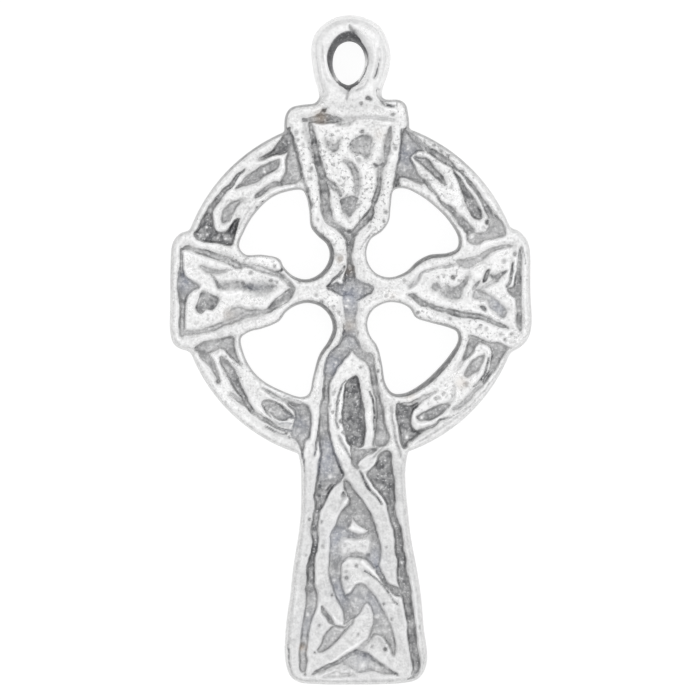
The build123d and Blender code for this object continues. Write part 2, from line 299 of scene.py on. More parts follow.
# Places sunk into the face as grooves that follow a line: name, depth in mm, darkness, and rows of
# photo column, photo row, half width in pixels
GROOVES = (
    # top arm
    ("top left", 0.85, 0.8, ((310, 122.5, 1.4), (311.3, 130, 1.9), (313.5, 140, 2.5), (315.5, 150, 2.9),
     (317.8, 160, 3.3), (320, 168, 3.6), (322.3, 176, 4.1), (324.2, 186, 4.3), (325, 196, 4.3),
     (325.7, 206, 4.2), (327, 214, 4.2), (329, 220, 3.6), (334, 225, 2.6), (339.5, 228.8, 2.4),
     (344.5, 233, 2.8), (349, 238, 4))),
    ("top left branch", 0.7, 0.7, ((328, 179.5, 1.2), (331, 183, 2.2), (335, 188.5, 2.6), (338.5, 192, 2.0),
     (341, 196, 1.4))),
    ("top middle", 0.6, 0.62, ((344, 160.5, 1.6), (348, 163, 2.6), (352.5, 167.5, 2.8), (355.5, 173, 3.2),
     (357, 180, 2.9), (357, 187, 2.3), (356.5, 194, 1.8))),
    ("top arc", 0.6, 0.8, ((350.2, 145, 1.0), (352, 142, 1.3), (355, 139.5, 1.3), (359, 137, 1.2),
     (363.5, 135, 0.9))),
    ("top hole line", 0.75, 0.6, ((363.5, 146, 0.6), (365, 152, 0.7), (367, 158.5, 0.7))),
    ("head bar left", 0.7, 0.85, ((303, 119.3, 1.3), (308, 119.6, 1.2), (314, 119.4, 2.0),
     (320, 118.3, 3.4), (326, 117.8, 4.0), (332, 118.6, 3.4), (337, 120, 2.8), (341, 121.5, 2.0))),
    ("head bar nick", 0.6, 0.8, ((326.5, 108.5, 0.8), (324, 112, 1.4), (321.5, 115, 1.3))),
    ("top right", 0.8, 0.7, ((391, 127, 1.0), (390.5, 134, 1.7), (388.5, 141, 3), (387, 149, 3.2),
     (386, 156, 2.0), (384.5, 163, 1.4), (380.5, 167, 1.5), (379.5, 172, 1.5), (380, 178, 2.2),
     (379, 184, 2.0), (378, 190, 1.8), (376.5, 196, 2.0), (374.5, 201, 2.0), (373, 206, 1.6),
     (371, 211, 2.6), (369, 215.5, 3.8), (364, 221, 3.8), (358.5, 227, 3.2), (354, 232.5, 3.0),
     (350, 238, 4))),
    ("top right hook", 0.6, 0.95, ((374, 163, 1.0), (378, 165.5, 1.6), (382, 163.5, 1.4))),
    # left arm
    ("left upper", 0.75, 0.66, ((181.5, 250, 0.9), (185, 248.3, 1.4), (190, 248.5, 1.8), (196, 250, 2.4),
     (203, 252, 2.9), (210, 254, 3.0), (218, 256.5, 3.0), (226, 259, 3.0), (233, 262.5, 3.0),
     (238, 265.5, 2.4))),
    ("left end", 0.85, 0.62, ((180.8, 249, 0.9), (181, 257, 1.1), (181, 266, 1.4), (180.8, 275, 2.0),
     (181, 285, 2.8), (182, 295, 3.1), (183, 302, 2.8), (182.5, 310, 2.3), (181.8, 320, 2.7),
     (181.8, 330, 2.5), (182, 335, 1.8))),
    ("left slit", 0.6, 0.5, ((201, 266.5, 1.2), (205, 269, 2.0), (210, 271.5, 2.4), (216, 272, 2.0),
     (222, 271, 1.4), (227, 269, 0.7))),
    ("left cross line", 0.6, 0.75, ((210.5, 275, 0.7), (214, 279, 1.1), (218, 285, 1.3), (220, 288, 0.9))),
    ("left lower", 0.8, 0.5, ((182, 333, 1.6), (190, 333, 2.0), (200, 332, 1.9), (208, 330, 2.0),
     (216, 327, 2.2), (224, 324, 2.2), (231, 321, 2.2), (238, 317.5, 2.4), (245, 314.5, 2.2),
     (254, 312.5, 2.0), (262, 312, 1.7), (268, 311, 1.8), (273, 307, 3.2), (279, 302.5, 4.4),
     (284, 299, 4.4), (288, 295, 4.0), (292, 290.5, 2.8), (295, 289, 1))),
    ("left wedge", 0.7, 0.72, ((267.5, 311.5, 1.0), (271.5, 308, 2.2), (277, 303.5, 3.2), (283, 299.5, 3.7),
     (288, 295, 3.4), (292.5, 290.5, 2.0))),
    # right arm
    ("right upper", 0.6, 0.5, ((512.5, 245.7, 0.8), (506, 246, 1.3), (499, 247.5, 1.7), (492, 250.5, 2.2),
     (485, 254.5, 2.8), (478, 258, 3.3), (471, 261.5, 4.0), (464, 263.5, 4.0), (459, 262.5, 2.4),
     (457, 262, 1.2))),
    ("right end", 0.7, 0.72, ((521, 247.5, 1.0), (520.5, 255, 1.6), (520, 262, 2.1), (519, 270, 2.4),
     (518, 277, 3.0), (517.5, 284, 3.6), (517, 290, 4.4), (518.5, 296, 3.0), (519, 303, 2.6),
     (519, 312, 2.6), (519, 320, 2.4), (519, 327, 1.8), (519.5, 331, 0.9))),
    ("right strand line", 0.5, 0.9, ((512.5, 263, 0.8), (511.5, 271, 1.1), (510, 279, 1.3),
     (507, 287, 1.1))),
    ("right slit one", 0.8, 1.0, ((488.5, 270.5, 1.3), (486.5, 276, 1.9), (484, 281.5, 1.3))),
    ("right slit two", 0.7, 0.55, ((479, 281, 1.0), (476, 285, 1.4), (472.5, 290, 1.0))),
    ("right notch", 0.6, 0.7, ((491, 275, 1.0), (496, 277, 1.9), (501, 274.5, 1.7), (506, 271.5, 1.1))),
    ("right spot", 0.7, 1.0, ((480.5, 306.5, 0.8), (484, 307.5, 1.6), (486, 310, 1.1))),
    ("right lower", 0.8, 0.68, ((408, 295, 0.8), (412, 295.5, 1.7), (417, 299, 2.4), (422, 303.5, 2.7),
     (430, 306, 2.2), (440, 309, 1.9), (450, 311.5, 2.3), (460, 313.8, 2.8), (470, 315.5, 2.8),
     (480, 317, 2.6), (488, 319.5, 2.3), (496, 323, 1.9), (503, 326, 1.4), (508, 328, 0.8))),
    # middle
    ("upper channel", 0.9, 0.95, ((349.5, 235.5, 5.2), (350, 240, 4.2), (350, 244, 3.4), (349.8, 250, 2.6),
     (349.6, 256, 2.3), (349.8, 262, 2.5), (350, 268, 3.8), (349.8, 274, 5.0), (350, 281, 5.5))),
    ("middle line", 0.6, 1.0, ((344.5, 266, 1.0), (343, 270, 1.3), (339.5, 274.5, 1.3), (334.5, 278.5, 1.1),
     (330.5, 283, 1.1), (327.5, 286.5, 0.9))),
    ("lower channel", 0.4, 0.66, ((350, 296, 7.5), (350, 303, 7.2), (349.8, 312, 6.2), (349.6, 320, 5.2),
     (349.8, 328, 4.6), (350.5, 336, 5.6))),
    ("lower channel line", 0.4, 0.9, ((343.5, 324, 0.8), (344.5, 330, 1.2), (342.5, 336.5, 1.0))),
    # upper left of the ring
    ("ring ul outer", 0.8, 0.85, ((245, 169.5, 0.8), (239, 173.5, 1.2), (234.5, 179, 1.4), (231, 185, 1.7),
     (226, 190, 2.1), (221, 196, 2.3), (216, 202, 2.5), (211.5, 208, 2.9), (209, 214, 3.2), (206, 221, 4),
     (205, 227, 4.5))),
    ("ring ul inner", 0.65, 0.8, ((283, 183, 2), (276, 184, 2.2), (270, 187, 2.0), (264, 191, 2.0),
     (258, 195, 1.6), (254.5, 198, 0.9))),
    # upper right of the ring
    ("ring ur outer", 0.8, 0.75, ((408, 128, 1.2), (411, 133, 2.0), (414, 138, 2.1), (418.5, 142, 2.1),
     (424, 146.5, 2.3), (430, 151, 2.8), (436, 154.5, 3.0), (441, 158, 3.0), (446, 161.5, 2.4),
     (451, 165, 1.8), (455, 168, 1.2), (460, 172, 1), (465, 177.5, 1.1), (470, 183, 1.5), (475, 189, 1.5),
     (479, 194, 1.3), (483, 200, 1.4), (487, 207, 2.1), (490, 213, 2.8), (494, 220, 4))),
    ("ring ur inner", 0.7, 0.8, ((424, 181, 1.8), (427.5, 184.5, 1.6), (429.5, 188.5, 1.4), (433, 192, 1.1),
     (437, 196, 1.0), (441, 201, 1), (445, 205.5, 1.5), (449, 208, 2.2), (453, 212, 2.6), (456, 216, 3.2),
     (461, 221, 4.0), (466, 227, 4.2), (470, 231, 4))),
    ("ring ur slot", 0.8, 0.85, ((452, 167, 0.7), (455, 173, 0.9), (459, 180, 1.4), (462.5, 186, 1.9),
     (465, 191, 2.8), (468, 197, 4.2), (471, 203, 4.8), (474.5, 209, 4.8), (477.5, 214, 4.2),
     (479.5, 216.5, 2.5))),
    # lower left of the ring
    ("ring ll wedge", 0.75, 0.6, ((199, 350, 2.5), (204, 355, 4.2), (209, 361, 3.8), (213, 368, 2.4),
     (216, 374, 1.6), (219, 381, 1.0))),
    ("ring ll slot", 0.85, 0.75, ((221.5, 358.5, 2.2), (225, 363, 4.0), (229, 369, 4.3), (232, 375, 4.2),
     (235, 381, 3.8), (238, 387, 3.6), (241, 392, 3.2), (244, 397, 2.7), (246, 402, 2.4), (249, 407, 2.4),
     (252, 411, 2.3), (257, 415, 2.1), (263, 418.5, 2.0), (268, 421, 1.8), (273, 424.5, 1.5),
     (278, 427.5, 1.3), (284, 430, 1.1), (291, 430.5, 0.8))),
    ("ring ll slot side", 0.6, 0.45, ((231, 394, 1.2), (236, 397, 2.0), (241, 401, 2.3), (246, 404, 2.3))),
    ("ring ll upper", 0.65, 0.66, ((263, 388, 0.9), (268, 391, 1.4), (273, 395, 1.7), (279, 398.5, 1.7),
     (285, 401, 1.9), (291, 404, 2.5), (297, 406, 2.5))),
    ("ring ll stripe", 0.45, 0.2, ((271, 420, 0.9), (277, 424, 1.1), (283, 425.5, 1.1), (289, 425.5, 0.9))),
    ("ring ll hole line", 0.4, 0.85, ((275, 403.3, 0.7), (281, 406.8, 0.9), (286.5, 411.6, 1.1),
     (291, 416, 1.0), (294, 418.8, 0.7))),
    ("ring ll foot line", 0.4, 0.8, ((263.5, 406, 0.7), (266, 412, 0.9), (271, 418, 0.9), (277, 421.5, 0.9),
     (284, 423.5, 0.8), (291, 424, 0.6))),
    ("ring ll edge", 0.35, 0.8, ((266, 426, 0.6), (272, 429, 0.8), (278, 432.5, 0.8), (284, 434.5, 0.6))),
    # lower right of the ring
    ("ring lr right", 0.5, 0.52, ((453, 409, 1.2), (457, 408, 1.5), (462, 404, 2.3), (467, 400, 2.4),
     (472, 395, 1.9), (477, 390, 1.9), (481, 385, 2.2), (486, 379, 2.6))),
    ("ring lr strand line", 0.6, 0.9, ((489, 358, 0.8), (487.5, 366, 1.1), (484, 374, 1.1),
     (478.5, 382, 1.3), (474, 387, 0.9))),
    ("ring lr upper", 0.65, 0.3, ((436, 390.5, 0.8), (429, 394.5, 1.5), (423, 398, 1.9), (417, 402, 2.8),
     (410, 405.5, 2.4), (402, 404.5, 1.4))),
    ("ring lr top gap", 0.5, 0.4, ((476, 339, 0.9), (484, 341.2, 1.3), (491, 343, 1.5), (497, 344.5, 1.4))),
    ("ring lr bottom", 0.65, 0.9, ((419, 432, 1.9), (424, 429.5, 1.5), (429, 427.5, 1.5), (434, 425.5, 1.0),
     (439, 421, 1.0), (444, 419, 0.8), (448, 417, 0.6))),
    # stem
    ("stem left", 0.9, 0.85, ((318, 503, 3.3), (317, 510, 2.8), (316, 518, 3.5), (314.5, 526, 3.3),
     (314, 534, 3.0), (314.5, 542, 2.2), (313.5, 550, 2.4), (311.5, 558, 3.1), (311, 566, 3.5),
     (311, 574, 3.5), (310.5, 582, 3.5), (310, 590, 4.0))),
    ("stem left lower", 0.85, 0.52, ((310, 588, 3.8), (311.5, 598, 5.6), (311, 606, 5.6), (309, 614, 4.6),
     (307, 622, 4.0), (305.5, 630, 3.6), (304.5, 638, 3.6), (304, 646, 3.6), (303, 654, 3.5),
     (303, 662, 3.7), (302.5, 669, 3.1))),
    ("stem right", 0.9, 0.85, ((391, 502, 3.8), (392, 510, 3.4), (394, 520, 3.6), (397, 530, 3.8),
     (398.5, 540, 3.8), (399.5, 550, 3.8), (401, 558, 4.2), (401.5, 566, 4.2), (402, 574, 4.5),
     (403.5, 582, 5.2), (405.5, 590, 5.0), (407, 598, 4.2), (408.5, 606, 3.8), (410, 615, 3.8),
     (411.5, 625, 3.8), (412.5, 635, 3.8), (413, 645, 4.0), (414.5, 655, 3.8), (416, 663, 4.0),
     (415.5, 671, 3.2), (412, 677, 2.2), (408, 679, 0.9))),
    ("loop left line", 0.6, 0.8, ((345, 380, 0.6), (341.5, 386, 0.9), (339, 393, 0.9), (337, 400, 0.8),
     (336.5, 410, 0.8), (336.5, 420, 0.8), (338, 428, 0.7))),
    ("loop ledge line", 0.5, 0.65, ((338, 436, 0.6), (341, 442, 0.8), (345, 449, 1), (349, 455, 1),
     (352.5, 460, 0.9))),
    ("loop right line", 0.5, 1.0, ((370, 392, 0.8), (372.5, 400, 1.0), (373.5, 410, 1.0), (374, 420, 0.9),
     (374, 430, 0.8))),
    ("left rim line", 0.5, 0.9, ((319, 425, 0.8), (318, 432, 0.9), (317, 440, 1.1), (316, 449, 1.2),
     (315, 455, 0.8))),
    ("right rim line", 0.35, 0.6, ((391, 407, 0.6), (392, 415, 0.7), (393, 425, 0.7), (395, 435, 0.8),
     (397, 443, 0.9), (399, 450, 0.9), (400.5, 456, 0.7))),
    ("left edge line", 0.35, 0.9, ((302, 450, 0.9), (303, 462, 1.3), (303, 475, 1.3), (302.5, 490, 1.0))),
    ("long strand line", 0.55, 1.0, ((359.5, 471.5, 0.8), (363, 478, 1.0), (367, 485, 1.0),
     (372, 491.5, 1.1), (377, 498, 1.0), (382, 504, 0.7))),
    ("left strand pit", 0.6, 1.0, ((343, 491.5, 0.7), (343, 495, 2.0))),
    ("hook wedge", 0.75, 0.8, ((377, 566, 2), (379, 572, 2.4), (383, 578, 2.4), (387, 584, 2.1),
     (391, 588, 2.3), (396, 591, 4.0), (401, 592, 4.5))),
    ("hook line", 0.5, 0.95, ((364.5, 571, 0.6), (371, 575, 0.8), (378, 580, 0.8), (384, 586, 0.9),
     (389, 593, 0.9), (393, 600, 0.8), (398, 605, 0.5))),
    ("lower slit", 0.75, 0.9, ((321.5, 607, 1.0), (324, 612, 2.0), (328, 617, 2.5), (331, 621, 2.0),
     (334, 624, 0.9))),
    ("foot line", 0.75, 0.75, ((313, 674, 1.0), (319, 671, 1.8), (327, 667, 2.0), (335, 663.5, 1.8),
     (343, 660, 1.8), (350, 656, 2.2), (356, 653, 2.8), (362, 653, 2.8), (368, 656, 2.0), (375, 661, 1.8),
     (382, 666, 1.8), (390, 671, 1.6), (397, 675, 1.0))),
    ("left foot line", 0.35, 0.8, ((288, 645, 0.6), (288.5, 652, 0.8), (289, 660, 0.8), (290, 668, 0.6))),
    ("leaf slit", 0.35, 0.5, ((371, 459, 0.6), (375, 455.8, 0.9), (378.5, 451.8, 0.9), (382, 448.3, 0.6))),
    ("piece streak", 0.6, 0.65, ((353.5, 516.5, 0.7), (356, 520.5, 1.2), (360, 523.5, 1.4),
     (364.5, 526, 1.3), (367, 527.5, 0.8))),
    ("piece line", 0.4, 0.35, ((347, 533, 0.8), (352, 535.3, 1.1), (360, 535.3, 1.0), (369, 534, 1.0))),
    # bail and shoulders
    ("shoulder crevice", 0.4, 1.0, ((377, 90.5, 1.1), (379.3, 96.8, 1.5), (382.5, 102, 1.5),
     (388, 104.8, 1.3), (394, 106, 1.0))),
)

# Soft dips with painted shade, which fades out from their middle line: the same columns as the grooves, the
# darkness being painted shade
PAINTED_SHADE_DIPS = (
    ("head bar blue", 0.5, 0.35, ((338, 123, 3), (345, 122, 4.5), (350, 121, 3.5), (355, 118.5, 2.5))),
    ("top left soft", 0.35, 0.35, ((305, 123, 2.2), (307, 131, 3.0), (309.5, 141, 3.2), (312, 151, 3.0),
     (314, 160, 2.2))),
    ("top right soft", 0.35, 0.4, ((389.5, 129, 1.8), (388, 139, 3.4), (386, 149, 4.2), (383.5, 158, 4.6),
     (381, 166, 4.4), (380, 175, 3.6), (379.5, 185, 3.2), (378, 195, 2.6))),
    ("head bar line", 0.3, 0.8, ((303, 121, 0.8), (312, 121.8, 1.0), (322, 122.8, 1.2), (333, 122.8, 1.2),
     (338, 121.5, 1.0))),
    ("bead foot", 0.6, 0.75, ((247, 266.5, 1.2), (253, 268, 1.5), (260, 270.5, 1.6), (268, 272, 1.6),
     (276, 272, 1.5), (282, 270, 1.3), (284, 265.5, 0.9))),
    ("bead pinch", 0.5, 0.45, ((232, 260, 2.4), (236, 264.5, 3.0), (241, 266.5, 2.4))),
    ("ul head shadow", 0.3, 0.8, ((290.5, 130, 1.0), (294, 141, 1.3), (297, 152, 1.5), (300, 164, 1.6),
     (303, 176, 1.7), (306, 188, 2.2), (308, 197, 1.8), (310.5, 208, 1.4))),
    ("ur head shadow", 0.3, 0.8, ((402.5, 130, 1.1), (401.5, 142, 1.4), (400.5, 155, 1.5), (399, 168, 1.6),
     (397, 180, 2.4), (395.5, 187, 1.8))),
    ("head bar right", 0.35, 0.3, ((344, 120, 3), (350, 117.5, 2.4), (360, 117.5, 1.8), (370, 117.5, 1.6),
     (380, 118.5, 1.8), (388, 119, 1.8), (393, 120, 1.5))),
    ("top right rim line", 0.3, 0.5, ((376, 229, 0.6), (371, 233.5, 0.7), (366.5, 239, 0.8),
     (363, 244, 0.7), (361, 250, 0.5))),
    ("left upper tail", 0.65, 0.5, ((238, 265.5, 2.2), (248, 265, 1.6), (254, 265, 1.6), (262, 268, 2.4),
     (270, 271.5, 3.2), (278, 274.5, 3.6), (285, 279, 3.4), (291, 285, 2.4), (295, 289, 1.0))),
    ("left middle", 0.5, 0.58, ((221, 286, 3.4), (228, 285.5, 4.0), (236, 284.5, 4.0), (243, 285, 4.2),
     (250, 287.5, 5.0), (257, 289.5, 6.2), (265, 289, 5.8), (271, 287.5, 4.0))),
    ("left hole core", 0.4, 0.75, ((248, 288, 1.6), (253, 289.8, 2.6), (260, 289.8, 2.4), (266, 288, 1.6))),
    ("right upper tail", 0.45, 0.45, ((456, 265, 1.1), (450, 265.5, 1.4), (443, 266.5, 1.1),
     (436, 268, 0.9), (430, 270, 1.1), (424, 271.5, 1.3), (420, 275, 1.9), (417, 280, 2.8), (413, 284, 2.8),
     (409, 287, 1.6))),
    ("right end line", 0.3, 0.6, ((522.5, 248, 0.5), (524.5, 256, 0.6), (525.5, 263, 0.6))),
    ("right notch foot", 0.4, 0.35, ((497, 280, 2), (490, 283, 2.2), (484, 288, 2.2), (479, 292, 2))),
    ("lower channel top", 0.4, 0.3, ((350, 292, 7.5), (350, 298, 8.5), (350, 304, 7.8), (349.8, 311, 6.2),
     (349.8, 320, 5.0), (350, 330, 4.8))),
    ("ring ul rim line", 0.25, 0.3, ((255, 203, 0.5), (250, 208, 0.8), (246, 213, 0.8), (242, 220, 0.8),
     (239, 227, 0.6))),
    ("ring ll outer line", 0.3, 0.7, ((265, 427, 0.6), (271, 430, 0.8), (279, 434, 0.6))),
    ("ring ll edge line", 0.25, 0.35, ((284, 396.5, 0.6), (291, 399, 0.6), (298, 401, 0.6),
     (303, 403, 0.6))),
    ("ring lr tail", 0.3, 0.3, ((454.5, 388, 1.2), (454, 394, 1.8), (451, 400, 2.0), (446, 404, 2.0))),
    ("ring lr step", 0.2, 0.3, ((507, 352, 0.7), (499, 370.5, 1.0), (485, 390, 1.0), (469.5, 406.5, 1.0),
     (455, 418, 1.0), (441, 427.5, 1.0), (428, 436, 0.9), (415.5, 443.5, 0.7))),
    ("bail right side", 0.3, 0.1, ((379.5, 50, 2.0), (379, 60, 2.6), (377.5, 69, 2.8), (374.5, 77, 2.2))),
    ("bail left side", 0.2, 0.12, ((322, 48, 2.0), (322.5, 60, 2.6), (324.5, 70, 2.6), (328, 80, 2.2))),
    ("ring lr outer line", 0.25, 0.4, ((471, 405.5, 0.6), (464, 410, 0.7), (457, 413.5, 0.6),
     (450, 417, 0.5))),
    ("lower slit tail", 0.35, 0.35, ((331, 622, 1.6), (336, 626, 1.8), (343, 627, 1.6))),
    ("foot edge line", 0.15, 0.3, ((312, 681, 0.6), (350, 681.5, 0.6), (390, 681, 0.6), (410, 679.5, 0.6))),
    ("crossing shade", 0.5, 0.5, ((359.5, 650, 1.8), (363.5, 645, 2.4), (368, 640, 2.4),
     (371.5, 635.5, 1.8))),
    ("bail right line", 0.25, 0.95, ((378.8, 58, 0.5), (379, 66, 0.6), (377.5, 70, 0.8), (374, 77.5, 0.7))),
    ("bail notch", 0.6, 0.8, ((349, 25.5, 0.6), (351.5, 29.5, 2.0), (355, 34, 4.0), (356, 39, 5.0))),
    ("bail foot notch", 0.3, 0.5, ((348, 90, 2.2), (348, 96, 1.6), (347, 100, 0.8))),
    ("left shoulder line", 0.25, 0.7, ((306, 104, 0.8), (312, 103, 1.1), (316, 100, 1.2),
     (318.6, 95, 0.9))),
    ("bail foot line", 0.15, 0.35, ((368, 80, 0.8), (363, 86, 1.0), (357, 91, 0.8))),
    ("left floor right shade", 0.3, 0.82, ((331.5, 452, 1.4), (334.5, 457.5, 2.4), (338, 463, 2.4),
     (340.5, 469, 2.4), (342.5, 475, 2.2))),
    ("left floor left shade", 0.3, 0.74, ((321.5, 456, 1.2), (319.8, 462, 1.8), (319.2, 468, 2.0),
     (318.2, 476, 2.2), (318.5, 481, 2.6))),
    ("left floor low", 0.4, 0.8, ((321, 481, 2.6), (319.5, 487, 4.6), (319.5, 492.5, 5.2),
     (320.5, 498, 4.6), (319.5, 505, 3.4), (317.5, 512, 2.6))),
    ("left floor strand side", 0.3, 0.82, ((339, 479, 1.0), (334.5, 484, 1.5), (330.5, 489.5, 1.6),
     (328, 495, 1.6), (325.5, 501, 1.5))),
    ("head bar soft", 0.05, 0.14, ((326, 107, 5), (340, 105.5, 6), (360, 106, 6), (380, 107, 5))),
)

